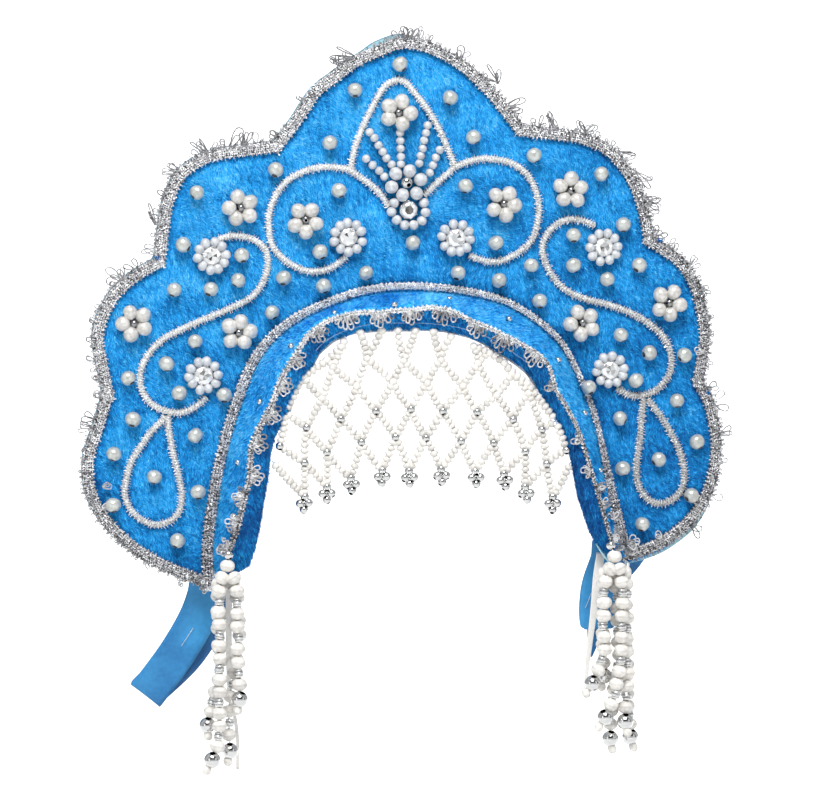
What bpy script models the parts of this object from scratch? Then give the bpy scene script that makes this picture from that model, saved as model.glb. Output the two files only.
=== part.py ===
# A kokoshnik: a lobed plush crest on a padded hoop, with braid, pearls, a bead net and two tassels.
# The frame: +Z is up, the front faces -Y, and the origin is the top of the head opening.
# Sizes are millimetres. "forward" is a distance towards the wearer's front, along -Y.

import math

import bmesh
import bpy
from mathutils import Matrix, Vector

MM = 0.001
GAP = 0.3

PLUSH_FORWARD = 2.0
PLUSH_THICKNESS = 2.5
SATIN_THICKNESS = 1.2
EDGE_BRAID_WIDTH = 5.0
EDGE_BRAID_THICKNESS = 1.0
EDGE_BRAID_TRIM = 5.4
ARCH_BRAID_WIDTH = 4.4
ARCH_BRAID_THICKNESS = 0.8
CORD_WIDTH = 3.4
CORD_HEIGHT = 1.7
LACE_WIDTH = 3.4
LACE_THICKNESS = 0.8
LACE_END = 0.905
HOOP_SEAM = 2.6
HOOP_BACK = -5.0
HOOP_END_RISE = 0.38
PEARL_RADIUS = 3.0
PEARL_SEAT = 1.4
PETALS = 5
PETAL_RADIUS = 2.85
PETAL_RING = 5.0
HEART_PEARLS = 6
HEART_PEARL_RADIUS = 2.4
HEART_RING = 4.9
RAY_RADIUS = 1.6
NET_FORWARD = 17.0
NET_CORD = 2.4
STRAND_RADIUS = 2.5
THREAD_RADIUS = 0.7
BALL_RADIUS = 3.15
HEAD_BEAD_RADIUS = 2.2
CLOTH_THICKNESS = 1.0
BEAD_SIDES = 10

# half of the crest's edge on each side: lobe, left x, left z, right x, right z
OUTLINE = [
    ("top", -0.4, 117.2, -0.4, 117.2),
    ("top", -20.4, 109.6, 15.7, 113.3),
    ("top", -36.7, 97.5, 31.6, 102.2),
    ("top", -52.0, 77.4, 48.9, 81.1),
    ("upper", -52.0, 77.4, 48.9, 81.1),
    ("upper", -73.1, 75.2, 70.6, 78.0),
    ("upper", -89.2, 68.1, 86.9, 69.7),
    ("upper", -97.5, 53.0, 96.8, 54.2),
    ("upper", -100.8, 32.1, 101.4, 34.8),
    ("middle", -100.8, 32.1, 101.4, 34.8),
    ("middle", -116.2, 22.3, 113.5, 25.6),
    ("middle", -124.8, 8.4, 121.4, 10.4),
    ("middle", -125.6, -5.5, 123.6, -5.8),
    ("middle", -122.9, -21.0, 120.8, -23.9),
    ("lower", -122.9, -21.0, 120.8, -23.9),
    ("lower", -130.7, -43.0, 127.5, -46.4),
    ("lower", -131.1, -58.9, 126.0, -62.6),
    ("lower", -124.4, -73.1, 117.8, -79.4),
    ("lower", -109.3, -87.6, 103.2, -91.0),
    ("lower", -82.6, -100.6, 87.4, -96.7),
]
LOBES = ["top", "upper", "middle", "lower"]

# the seam between the crest and the hoop, from its top down: left x, left z, right x, right z
ARCH = [
    (-0.4, 18.0, -0.4, 18.0),
    (-18.8, 16.4, 20.0, 16.0),
    (-38.5, 9.8, 38.5, 11.2),
    (-50.8, 2.7, 52.0, 3.1),
    (-59.2, -5.6, 61.2, -5.5),
    (-65.0, -15.6, 67.3, -15.9),
    (-72.2, -34.4, 74.5, -34.3),
    (-76.9, -50.9, 78.0, -49.0),
    (-80.0, -66.7, 81.0, -65.0),
    (-82.3, -82.6, 84.4, -81.2),
    (-82.4, -97.6, 87.0, -93.6),
]

# the hoop's section at shares of the way from its top to its ends, below zero on the left:
# share, lace line inward, front face forward, innermost point inward
HOOP = [
    (-1.0, 5.6, 10.0, 14.6),
    (-0.91, 7.2, 15.5, 17.8),
    (-0.85, 9.2, 18.0, 18.6),
    (-0.72, 10.8, 20.0, 18.6),
    (-0.64, 8.5, 20.0, 17.2),
    (-0.59, 9.2, 20.0, 17.0),
    (-0.52, 11.2, 20.0, 19.0),
    (-0.4, 10.6, 20.0, 19.0),
    (-0.34, 9.0, 20.0, 17.9),
    (-0.29, 6.2, 20.0, 15.2),
    (-0.23, 4.9, 20.0, 13.2),
    (-0.16, 5.8, 20.0, 13.8),
    (-0.09, 8.4, 20.0, 15.6),
    (0.0, 8.6, 20.0, 16.6),
    (0.05, 7.3, 20.0, 16.4),
    (0.1, 7.9, 20.0, 16.3),
    (0.17, 11.2, 20.0, 17.3),
    (0.27, 13.0, 20.0, 19.6),
    (0.34, 12.2, 20.0, 19.6),
    (0.4, 11.3, 20.0, 19.4),
    (0.455, 11.6, 20.0, 19.4),
    (0.52, 13.4, 20.0, 18.8),
    (0.62, 11.1, 20.0, 16.2),
    (0.72, 9.9, 20.0, 15.2),
    (0.82, 8.2, 18.5, 15.4),
    (0.91, 7.0, 15.0, 13.6),
    (1.0, 4.6, 10.0, 9.4),
]

# satin that peeks past the edge: x, z, length along the edge, how far it shows
PEEKS = [(-8.0, 114.5, 14.0, 1.6), (106.0, -89.0, 22.0, 2.2)]

# single pearls, in pairs: left x, left z, right x, right z
PEARLS = [
    (-19.1, 96.3, 19.0, 92.3),
    (-29.7, 75.7, 28.0, 76.5),
    (-51.4, 65.7, 52.3, 68.6),
    (-82.9, 57.6, 79.5, 60.3),
    (-26.5, 56.7, 24.4, 57.1),
    (-89.0, 37.1, 88.0, 39.8),
    (-65.9, 32.2, 67.7, 36.2),
    (-67.5, 22.4, 67.4, 24.2),
    (-34.5, 32.7, 36.2, 34.1),
    (-49.4, 22.8, 50.2, 24.6),
    (-33.6, 19.0, 37.1, 19.0),
    (-16.4, 23.7, 20.6, 22.6),
    (-78.5, 19.2, 81.1, 18.1),
    (-93.0, 19.5, 94.2, 23.4),
    (-54.4, 9.3, 53.4, 10.3),
    (-85.3, -1.2, 86.2, -4.4),
    (-96.8, -9.8, 97.7, -12.0),
    (-92.2, -21.6, 92.0, -22.9),
    (-112.2, -14.9, 112.1, -13.4),
    (-110.8, -31.3, 108.6, -31.7),
    (-86.2, -38.7, 85.1, -38.0),
    (-118.7, -44.8, 116.6, -48.6),
    (-103.0, -54.5, 100.8, -55.2),
    (-85.7, -61.2, 85.8, -58.3),
    (-119.6, -65.1, 113.9, -70.3),
    (-94.5, -80.3, 93.5, -81.1),
]
# pearls without a twin, and the one that sits on the arch braid: x, z
ODD_PEARLS = [(-0.8, 106.1), (2.7, 35.1), (-74.3, -23.0)]
BRAID_PEARL = (72.4, -24.9)

# flowers: x, z, turn of the first petal in degrees
FLOWERS = [
    (-1.9, 86.9, 70.0),
    (-66.0, 50.9, 30.0),
    (66.7, 54.3, 85.0),
    (-40.2, 45.4, 56.0),
    (39.7, 49.7, 60.0),
    (-109.2, 6.8, 38.0),
    (106.0, 7.8, 62.0),
    (-67.8, 1.7, 5.0),
    (70.6, 0.8, 40.0),
]
# a rosette's profile, a cut stone in a ring of small pearls: out from its axis, up from its back
ROSETTE_PROFILE = [(0.0, 4.4), (1.9, 4.4), (3.3, 2.4), (3.9, 1.0), (6.0, 3.6), (7.8, 1.8), (6.4, 0.0),
                   (0.0, 0.0)]
ROSETTE_SIDES = 12
# rosettes: x, z
ROSETTES = [(-77.6, 32.3), (80.1, 31.1), (-23.2, 38.2), (20.2, 36.5), (-82.3, -14.9), (81.6, -18.4)]

# the palmette: centre of its six pearls, centre of its rosette, and each ray's outer and inner end
PALMETTE_HEART = (0.6, 59.0)
PALMETTE_ROSETTE = (1.3, 48.3)
RAYS = [
    (-15.2, 68.9, -8.6, 62.1),
    (-13.6, 79.8, -5.6, 67.0),
    (-1.4, 78.4, -1.3, 68.4),
    (9.8, 81.6, 5.9, 67.2),
    (14.2, 71.8, 9.6, 63.2),
]

# the scroll cords' centre lines: x, z
CORDS = {
    "centre_arch_cord": [
        (-21.0, 67.4), (-17.8, 78.0), (-11.3, 90.7), (-6.4, 98.0), (-0.6, 100.2), (4.7, 95.0),
        (13.8, 81.4), (19.9, 67.2)],
    "upper_scroll_left": [
        (-7.9, 52.1), (-14.4, 59.4), (-22.8, 64.8), (-37.2, 65.8), (-49.4, 58.6), (-54.8, 45.0),
        (-48.4, 29.6), (-36.0, 25.0), (-25.8, 28.8)],
    "upper_scroll_right": [
        (9.6, 55.3), (18.1, 62.4), (26.0, 66.6), (39.2, 67.0), (50.6, 59.6), (54.2, 45.6),
        (48.4, 31.8), (36.0, 26.4), (26.8, 28.8)],
    "lower_scroll_left": [
        (-71.6, 39.6), (-62.8, 39.2), (-56.8, 33.8), (-57.4, 21.6), (-66.8, 13.0), (-81.8, 7.1),
        (-95.2, 1.4), (-105.2, -7.8), (-106.6, -20.2), (-96.8, -29.2), (-83.4, -25.5)],
    "lower_scroll_right": [
        (75.4, 40.5), (65.4, 42.4), (56.6, 35.6), (57.6, 22.8), (66.4, 12.8), (82.0, 7.8),
        (96.6, 0.7), (106.0, -9.6), (105.6, -21.8), (96.8, -28.9), (86.2, -27.0)],
    "teardrop_left": [
        (-99.8, -33.2), (-108.6, -43.4), (-114.4, -57.4), (-111.6, -69.2), (-101.9, -73.8),
        (-93.6, -68.8), (-92.6, -57.0), (-95.9, -32.6)],
    "teardrop_right": [
        (94.5, -32.8), (92.1, -55.0), (93.8, -68.6), (101.4, -73.2), (109.4, -67.6), (111.0, -57.6),
        (106.8, -45.6), (98.7, -33.2)],
}

# the net's rows of knots: how many, first x, last x, z at the middle, drop at the ends, tilt
NET_ROWS = {
    "first": (6, -32.2, 39.4, -9.8, 5.0, -2.4),
    "second": (7, -37.4, 46.0, -19.4, 5.4, -1.6),
    "third": (8, -43.4, 51.0, -30.3, 7.7, -2.2),
    "fourth": (9, -44.8, 52.8, -41.7, 10.2, -2.0),
    "tips": (10, -44.8, 54.9, -54.0, 11.4, -2.0),
}
NET_SPREAD = 0.15
NET_FLOWER = [(1.5, -1.6), (2.4, -3.9), (1.2, -6.1), (-1.2, -6.1), (-2.4, -3.9), (-1.5, -1.6)]
# a gap smaller than this, in square millimetres, is filled
NET_LEAST_GAP = 24.0
# where the net meets the hoop's inner edge: x of each pair of strings at the top, z down each side
NET_TOP_PAIRS = [(-35.0, -27.0), (-21.6, -12.6), (-6.0, 1.8), (7.2, 15.2), (21.8, 29.8), (35.0, 40.0)]
NET_SIDE_HEIGHTS = {"left": (-17.4, -29.4, -42.4, -50.0), "right": (-23.4, -36.4, -46.0, -54.5)}

# tassel heads: x, z and forward of the bead, then of the pearl below it
TASSEL_HEADS = {
    "left": ((-75.5, -85.2, 17.2), (-76.2, -89.6, 17.2)),
    "right": ((78.4, -87.8, 15.2), (79.4, -92.2, 17.2)),
}

# strands: x, z and forward of the points from the thread under the head pearl to the end ball
STRANDS = {
    "strand_left_1": [(-77.2, -92.9, 18.4), (-79.4, -97.2, 19.0), (-80.2, -105.0, 19.0),
                      (-80.6, -140.0, 19.0), (-82.0, -158.5, 19.0), (-84.4, -166.4, 19.0)],
    "strand_left_2": [(-77.2, -92.8, 15.8), (-79.4, -98.5, 12.6), (-79.7, -106.0, 12.4),
                      (-79.7, -132.0, 12.4), (-83.4, -145.0, 12.6), (-85.3, -153.4, 12.8)],
    "strand_left_3": [(-75.2, -92.9, 18.4), (-73.4, -97.2, 19.0), (-72.8, -105.0, 19.0),
                      (-73.2, -128.0, 19.0), (-72.9, -142.7, 19.0)],
    "strand_left_4": [(-75.3, -92.8, 15.8), (-73.0, -98.5, 12.6), (-72.2, -106.0, 12.4),
                      (-72.2, -124.0, 12.4), (-75.6, -140.0, 12.4), (-76.6, -150.0, 12.4),
                      (-76.6, -164.1, 12.8)],
    "strand_right_1": [(78.4, -95.5, 18.4), (76.0, -99.6, 19.0), (74.4, -107.0, 19.0),
                       (73.6, -131.0, 19.0), (69.1, -142.6, 19.0)],
    "strand_right_2": [(78.1, -95.4, 15.8), (76.0, -100.4, 12.6), (75.3, -108.0, 12.0),
                       (75.0, -128.0, 12.0), (75.0, -140.8, 12.0)],
    "strand_right_3": [(80.6, -95.5, 18.4), (81.6, -99.8, 19.0), (81.9, -107.0, 19.0),
                       (80.6, -134.0, 19.0), (77.4, -149.4, 19.0), (74.1, -156.6, 19.0)],
    "strand_right_4": [(82.3, -94.6, 16.8), (86.0, -100.0, 15.4), (86.4, -107.0, 15.2),
                       (86.4, -134.0, 15.2), (84.4, -150.0, 16.2), (82.8, -159.0, 17.2)],
    "strand_right_5": [(81.4, -95.0, 13.8), (85.8, -102.4, 7.6), (86.4, -109.0, 7.2),
                       (86.4, -146.0, 7.2), (86.5, -166.8, 7.6)],
    "strand_right_6": [(79.9, -95.5, 15.4), (81.2, -101.2, 12.5), (82.0, -109.0, 11.8),
                       (82.2, -134.0, 11.6), (78.6, -150.0, 12.0), (77.2, -166.4, 12.4)],
}

# strips of cloth: x, z, forward and width along each
STRIPS = {
    "ribbon_left": [
        (-81.5, -94.0, -6.2, 14.0), (-83.0, -104.0, -6.2, 14.6), (-87.2, -114.5, -6.2, 15.0),
        (-95.5, -127.5, -6.2, 15.0), (-106.6, -141.6, -6.4, 15.0), (-107.6, -142.8, -7.6, 15.0),
        (-106.2, -141.2, -8.9, 15.0), (-93.6, -128.5, -9.2, 15.0), (-84.6, -115.6, -9.2, 15.0),
        (-81.2, -104.0, -9.2, 14.6)],
    "ribbon_right": [
        (76.6, -124.4, -6.2, 11.0), (76.6, -122.6, -6.2, 14.4), (76.4, -116.0, -6.2, 15.0),
        (77.6, -106.5, -6.2, 15.0), (81.4, -96.0, -6.2, 15.0), (82.6, -89.6, -6.4, 15.0),
        (82.7, -88.6, -7.6, 15.0), (82.7, -89.8, -8.9, 15.0), (82.2, -98.0, -9.2, 15.0),
        (81.6, -104.4, -9.2, 14.6), (78.2, -118.2, -9.2, 11.2), (75.6, -127.0, -9.2, 6.2),
        (73.6, -136.0, -9.2, 1.6)],
    "tape_left": [
        (-74.4, -95.4, 4.0, 2.6), (-74.6, -108.0, 4.0, 2.6), (-75.1, -124.0, 4.0, 2.4),
        (-75.2, -142.0, 4.2, 1.8), (-73.4, -152.0, 4.6, 1.4), (-72.6, -162.0, 4.8, 1.4),
        (-72.9, -173.0, 4.8, 1.4)],
    "tape_right": [
        (76.4, -92.0, 4.0, 3.4), (74.7, -102.0, 4.0, 3.4), (73.1, -115.0, 4.0, 2.8),
        (71.2, -128.0, 4.0, 2.2), (69.5, -141.0, 4.0, 1.6), (68.8, -150.0, 4.0, 1.4)],
}

# finishes: base colour, roughness, metallic
FINISHES = {
    "plush": ((0.02, 0.26, 0.78), 0.85, 0.0),
    "pale_satin": ((0.45, 0.72, 0.86), 0.45, 0.0),
    "blue_satin": ((0.04, 0.27, 0.62), 0.35, 0.0),
    "silver_braid": ((0.62, 0.62, 0.64), 0.4, 0.8),
    "white_braid": ((0.78, 0.78, 0.8), 0.5, 0.3),
    "pearl": ((0.86, 0.84, 0.8), 0.25, 0.0),
    "silver_bead": ((0.75, 0.75, 0.77), 0.15, 1.0),
    "white_tape": ((0.85, 0.85, 0.84), 0.6, 0.0),
}


def at(x, z, forward):
    return Vector((x, -forward, z)) * MM


def smooth(points, steps):
    """Catmull-Rom through the points, each point a tuple of any length."""
    pts = [Vector(p) for p in points]
    pts = [2 * pts[0] - pts[1]] + pts + [2 * pts[-1] - pts[-2]]
    result = []
    for a, b, c, d in zip(pts, pts[1:], pts[2:], pts[3:]):
        for k in range(steps):
            t = k / steps
            result.append(
                0.5 * (2 * b + (c - a) * t + (2 * a - 5 * b + 4 * c - d) * t ** 2
                       + (3 * b - a - 3 * c + d) * t ** 3))
    return result + [pts[-2]]


def directions(path):
    """The unit direction at each point of a path, halfway between its two legs."""
    legs = [(b - a).normalized() for a, b in zip(path, path[1:])]
    legs = [legs[0]] + legs + [legs[-1]]
    return [(a + b).normalized() for a, b in zip(legs, legs[1:])]


def offset(path, distance):
    """Moves a flat path to its right by a distance, or by one distance for each point."""
    legs = [(b - a).normalized() for a, b in zip(path, path[1:])]
    legs = [legs[0]] + legs
    distances = distance if isinstance(distance, list) else [distance] * len(path)
    moved = []
    for point, way, leg, amount in zip(path, directions(path), legs, distances):
        side = Vector((way.y, -way.x))
        mitre = max(0.5, way.dot(leg))
        moved.append(point + side * amount / mitre)
    return moved


def crest_edge():
    """The crest's edge from the left bottom tip, over the top, to the right bottom tip."""
    halves = {}
    for side, column in (("left", 1), ("right", 3)):
        half = []
        for lobe in LOBES[1:]:
            rows = [(row[column], row[column + 1]) for row in OUTLINE if row[0] == lobe]
            half += smooth(rows, 2)[0 if not half else 1:]
        halves[side] = half
    left_top = [(row[1], row[2]) for row in OUTLINE if row[0] == "top"]
    right_top = [(row[3], row[4]) for row in OUTLINE if row[0] == "top"]
    top = smooth(left_top[::-1] + right_top[1:], 2)
    return halves["left"][::-1] + top[1:-1] + halves["right"]


def arch_line(steps):
    """The arch seam from its left end, over the top, to its right end."""
    left = [(row[0], row[1]) for row in ARCH]
    right = [(row[2], row[3]) for row in ARCH]
    return smooth(left[::-1] + right[1:], steps)


def shares(path):
    """How far each point of the arch is from the arch's top, as a share of the half, below zero on the left."""
    lengths = [0.0]
    for a, b in zip(path, path[1:]):
        lengths.append(lengths[-1] + (b - a).length)
    middle = lengths[len(path) // 2]
    return [(length - middle) / (middle if length < middle else lengths[-1] - middle)
            for length in lengths]


def hoop_size(share, column):
    for low, high in zip(HOOP, HOOP[1:]):
        if share <= high[0]:
            blend = (share - low[0]) / (high[0] - low[0])
            return low[column] + (high[column] - low[column]) * blend
    return HOOP[-1][column]


def material(name):
    found = bpy.data.materials.get(name)
    if found:
        return found
    colour, roughness, metallic = FINISHES[name]
    made = bpy.data.materials.new(name)
    made.use_nodes = True
    shader = made.node_tree.nodes["Principled BSDF"]
    shader.inputs["Base Color"].default_value = (*colour, 1.0)
    shader.inputs["Roughness"].default_value = roughness
    shader.inputs["Metallic"].default_value = metallic
    made.diffuse_color = (*colour, 1.0)
    return made


def add_object(name, mesh, finish, place=None):
    mesh.materials.clear()
    mesh.materials.append(material(finish))
    piece = bpy.data.objects.new(name, mesh)
    if place:
        piece.location = place
    parts.objects.link(piece)
    return piece


def evaluated(piece):
    """The mesh of an object with its modifiers applied, or of a curve, with its caps welded."""
    bpy.context.view_layer.update()
    graph = bpy.context.evaluated_depsgraph_get()
    mesh = bpy.data.meshes.new_from_object(piece.evaluated_get(graph))
    mesh.transform(piece.matrix_world)
    welded = bmesh.new()
    welded.from_mesh(mesh)
    bmesh.ops.remove_doubles(welded, verts=welded.verts, dist=0.000001)
    welded.to_mesh(mesh)
    welded.free()
    return mesh


def bmesh_to_mesh(name, shape):
    bmesh.ops.recalc_face_normals(shape, faces=shape.faces)
    mesh = bpy.data.meshes.new(name)
    shape.to_mesh(mesh)
    shape.free()
    return mesh


def flat_piece(name, points, back, thickness, finish, holes=()):
    """A flat outline with holes, upright, from the forward value of its back face."""
    curve = bpy.data.curves.new(name, "CURVE")
    curve.dimensions = "2D"
    curve.fill_mode = "BOTH"
    curve.extrude = thickness / 2 * MM
    for loop in (points, *holes):
        spline = curve.splines.new("POLY")
        spline.points.add(len(loop) - 1)
        for node, point in zip(spline.points, loop):
            node.co = (point.x * MM, point.y * MM, 0.0, 1.0)
        spline.use_cyclic_u = True
    flat = bpy.data.objects.new(name + "_outline", curve)
    flat.rotation_euler = (math.pi / 2, 0.0, 0.0)
    flat.location = (0.0, -(back + thickness / 2) * MM, 0.0)
    parts.objects.link(flat)
    mesh = evaluated(flat)
    bpy.data.objects.remove(flat)
    return add_object(name, mesh, finish)


def loft(name, rings, finish):
    """A solid through rings of equal point counts, closed by its first and last ring."""
    shape = bmesh.new()
    rows = [[shape.verts.new(point) for point in ring] for ring in rings]
    count = len(rings[0])
    for first, second in zip(rows, rows[1:]):
        for i in range(count):
            j = (i + 1) % count
            shape.faces.new((first[i], first[j], second[j], second[i]))
    shape.faces.new(rows[0][::-1])
    shape.faces.new(rows[-1])
    return add_object(name, bmesh_to_mesh(name, shape), finish)


def ball_mesh(radius, places):
    """Beads of BEAD_SIDES sides at places, their poles facing forward."""
    shape = bmesh.new()
    turn = Matrix.Rotation(math.pi / 2, 4, "X")
    for place in places:
        bmesh.ops.create_uvsphere(shape, u_segments=BEAD_SIDES, v_segments=3, radius=radius * MM,
                                  matrix=Matrix.Translation(place) @ turn)
    return bmesh_to_mesh("balls", shape)


def rod_mesh(start, end, radius, sides):
    """A round rod between two places."""
    shape = bmesh.new()
    run = end - start
    turn = run.to_track_quat("Z", "Y").to_matrix().to_4x4()
    bmesh.ops.create_cone(shape, cap_ends=True, segments=sides, radius1=radius * MM, radius2=radius * MM,
                          depth=run.length, matrix=Matrix.Translation((start + end) / 2) @ turn)
    return bmesh_to_mesh("rod", shape)


def fuse(base, others):
    """The union of a mesh with each of the other meshes in turn."""
    for other in others:
        body = bpy.data.objects.new("fused_body", base)
        tool = bpy.data.objects.new("fused_tool", other)
        parts.objects.link(body)
        parts.objects.link(tool)
        join = body.modifiers.new("join", "BOOLEAN")
        join.operation = "UNION"
        join.solver = "EXACT"
        join.object = tool
        base = evaluated(body)
        bpy.data.objects.remove(body)
        bpy.data.objects.remove(tool)
    return base


def build_crest(edge):
    seam = offset(arch_line(1), -0.6)
    panel = offset(edge, 0.8) + seam[::-1]
    back = PLUSH_FORWARD - PLUSH_THICKNESS
    plush = flat_piece("plush_cloth", panel, back, PLUSH_THICKNESS, "plush")
    places = [place for row in PEARLS for place in (row[:2], row[2:])] + ODD_PEARLS
    seats = [at(x, z, PLUSH_FORWARD + PEARL_SEAT) for x, z in places]
    fused = fuse(evaluated(plush), [ball_mesh(PEARL_RADIUS, seats)])
    bpy.data.objects.remove(plush)
    add_object("plush_front", fused, "plush")

    reach = []
    for point in edge:
        shown = 0.0
        for x, z, length, amount in PEEKS:
            near = (point - Vector((x, z))).length / length
            shown = max(shown, amount * math.exp(-near ** 4))
        reach.append(0.2 - shown)
    lining = offset(edge, reach) + seam[::-1]
    flat_piece("satin_back", lining, back - GAP - SATIN_THICKNESS, SATIN_THICKNESS, "pale_satin")


def build_edge_braid(edge):
    line = edge[:]
    line[0] += (edge[1] - edge[0]).normalized() * EDGE_BRAID_TRIM
    line[-1] += (edge[-2] - edge[-1]).normalized() * EDGE_BRAID_TRIM
    band = line + offset(line, EDGE_BRAID_WIDTH)[::-1]
    flat_piece("edge_braid", band, PLUSH_FORWARD + GAP, EDGE_BRAID_THICKNESS, "silver_braid")


def build_arch_braid():
    arch = arch_line(2)
    half = ARCH_BRAID_WIDTH / 2
    band = offset(arch, -half) + offset(arch, half)[::-1]
    flat = flat_piece("arch_band", band, PLUSH_FORWARD + GAP, ARCH_BRAID_THICKNESS, "silver_braid")
    top = PLUSH_FORWARD + GAP + ARCH_BRAID_THICKNESS
    fused = fuse(evaluated(flat), [ball_mesh(PEARL_RADIUS, [at(*BRAID_PEARL, top + PEARL_RADIUS - 0.6)])])
    bpy.data.objects.remove(flat)
    add_object("arch_braid", fused, "silver_braid")


def build_hoop():
    arch = arch_line(2)
    steps = shares(arch)
    rings = []
    for index, (point, way, share) in enumerate(zip(arch, directions(arch), steps)):
        inward = Vector((way.y, -way.x))
        lace, front, inner = (hoop_size(share, column) for column in (1, 2, 3))
        section = [
            (GAP, HOOP_BACK), (GAP, PLUSH_FORWARD), (HOOP_SEAM, PLUSH_FORWARD),
            (lace - LACE_WIDTH / 2, front), (inner - 1.5, front), (inner, front - 3.0),
            (inner - 3.5, HOOP_BACK)]
        rise = HOOP_END_RISE if index in (0, len(arch) - 1) else 0.0
        rings.append([at(*(point + inward * depth + Vector((0.0, rise * depth))), forward)
                      for depth, forward in section])
    loft("hoop", rings, "plush")


def build_lace():
    arch = arch_line(2)
    rings = []
    for point, way, share in zip(arch, directions(arch), shares(arch)):
        if abs(share) > LACE_END:
            continue
        inward = Vector((way.y, -way.x))
        lace, front = hoop_size(share, 1), hoop_size(share, 2) + GAP
        low, high = lace - LACE_WIDTH / 2, lace + LACE_WIDTH / 2
        section = [(low, front), (low, front + LACE_THICKNESS), (high, front + LACE_THICKNESS), (high, front)]
        rings.append([at(*(point + inward * depth), forward) for depth, forward in section])
    loft("lace_braid", rings, "silver_braid")


def build_cords():
    low = PLUSH_FORWARD + GAP
    for name, points in CORDS.items():
        path = smooth(points, 2)
        left, right = offset(path, -CORD_WIDTH / 2), offset(path, CORD_WIDTH / 2)
        rings = [[at(*a, low), at(*ridge, low + CORD_HEIGHT), at(*b, low)]
                 for a, ridge, b in zip(left, path, right)]
        loft(name, rings, "white_braid")


def cluster_mesh(count, ring, radius):
    """A ring of pearls, the first one on top, held by a core with a corner inside each pearl."""
    shape = bmesh.new()
    turn = Matrix.Rotation(math.pi / 2, 4, "X")
    height = 1.3 * radius
    bmesh.ops.create_cone(shape, cap_ends=True, segments=count, radius1=(ring - 0.8) * MM,
                          radius2=0.35 * ring * MM, depth=height * MM,
                          matrix=Matrix.Translation(at(0, 0, 0.4 + height / 2)) @ turn)
    core = bmesh_to_mesh("core", shape)
    pearls = [at(ring * math.sin(angle), ring * math.cos(angle), radius)
              for angle in (2 * math.pi * k / count for k in range(count))]
    return fuse(core, [ball_mesh(radius, pearls)])


def rosette_mesh():
    """A stone with a table and facets in a ring of small pearls, turned from its profile."""
    profile = bmesh.new()
    verts = [profile.verts.new((out * MM, 0.0, up * MM)) for out, up in ROSETTE_PROFILE]
    for a, b in zip(verts, verts[1:]):
        profile.edges.new((a, b))
    mesh = bpy.data.meshes.new("rosette_profile")
    profile.to_mesh(mesh)
    profile.free()
    turned = bpy.data.objects.new("rosette_profile", mesh)
    turned.rotation_euler = (math.pi / 2, 0.0, 0.0)
    parts.objects.link(turned)
    screw = turned.modifiers.new("turn", "SCREW")
    screw.steps = screw.render_steps = ROSETTE_SIDES
    screw.use_merge_vertices = True
    screw.merge_threshold = 0.00001
    result = evaluated(turned)
    bpy.data.objects.remove(turned)
    return result


def build_flowers():
    mesh = cluster_mesh(PETALS, PETAL_RING, PETAL_RADIUS)
    for number, (x, z, turn) in enumerate(FLOWERS, 1):
        flower = add_object(f"flower_{number}", mesh.copy(), "pearl", at(x, z, PLUSH_FORWARD + GAP))
        flower.rotation_euler = (0.0, math.radians(90.0 - turn), 0.0)


def build_rosettes():
    mesh = rosette_mesh()
    for number, (x, z) in enumerate(ROSETTES, 1):
        add_object(f"rosette_{number}", mesh.copy(), "pearl", at(x, z, PLUSH_FORWARD + GAP))


def build_palmette():
    low = PLUSH_FORWARD + GAP
    heart = Vector(PALMETTE_HEART)
    rosette = rosette_mesh()
    rosette.transform(Matrix.Translation(at(*PALMETTE_ROSETTE, low)))
    cluster = cluster_mesh(HEART_PEARLS, HEART_RING, HEART_PEARL_RADIUS)
    cluster.transform(Matrix.Translation(at(*heart, low)))
    add_object("palmette", fuse(rosette, [cluster]), "pearl")
    level = low + RAY_RADIUS
    for number, (x, z, inner_x, inner_z) in enumerate(RAYS, 1):
        rod = rod_mesh(at(x, z, level), at(inner_x, inner_z, level), RAY_RADIUS, 6)
        add_object(f"palmette_ray_{number}", rod, "pearl")


def net_edge():
    """The line just inside the hoop's innermost edge, where the net hangs."""
    arch = arch_line(5)
    inward = [hoop_size(share, 3) + GAP + NET_CORD / 2 + 0.2 for share in shares(arch)]
    return offset(arch, inward)


def net_row(name):
    count, first, last, middle, drop, tilt = NET_ROWS[name]
    knots = []
    for k in range(count):
        t = 2 * k / (count - 1) - 1
        spread = t * (1 + NET_SPREAD * (1 - t * t))
        x = (first + last) / 2 + (last - first) / 2 * spread
        knots.append(Vector((x, middle - drop * t * t + tilt * t)))
    return knots


def loop_area(loop):
    """The area of a flat loop, below zero where it runs clockwise."""
    return sum(a.cross(b) for a, b in zip(loop, loop[1:] + loop[:1])) / 2


def inset(loop, distance):
    """Moves each side of a loop inward, or outward where the distance is negative."""
    turn = 1 if loop_area(loop) > 0 else -1
    moved = []
    for before, point, after in zip(loop[-1:] + loop[:-1], loop, loop[1:] + loop[:1]):
        first, second = (point - before).normalized(), (after - point).normalized()
        across = [Vector((-way.y, way.x)) * turn for way in (first, second)]
        mitre = (across[0] + across[1]).normalized()
        moved.append(point + mitre * distance / max(0.35, mitre.dot(across[0])))
    return moved


def net_flower(tip):
    """The outline of the small flower below a tip of the net, from right to left."""
    return [tip + Vector(step) for step in NET_FLOWER]


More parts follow.
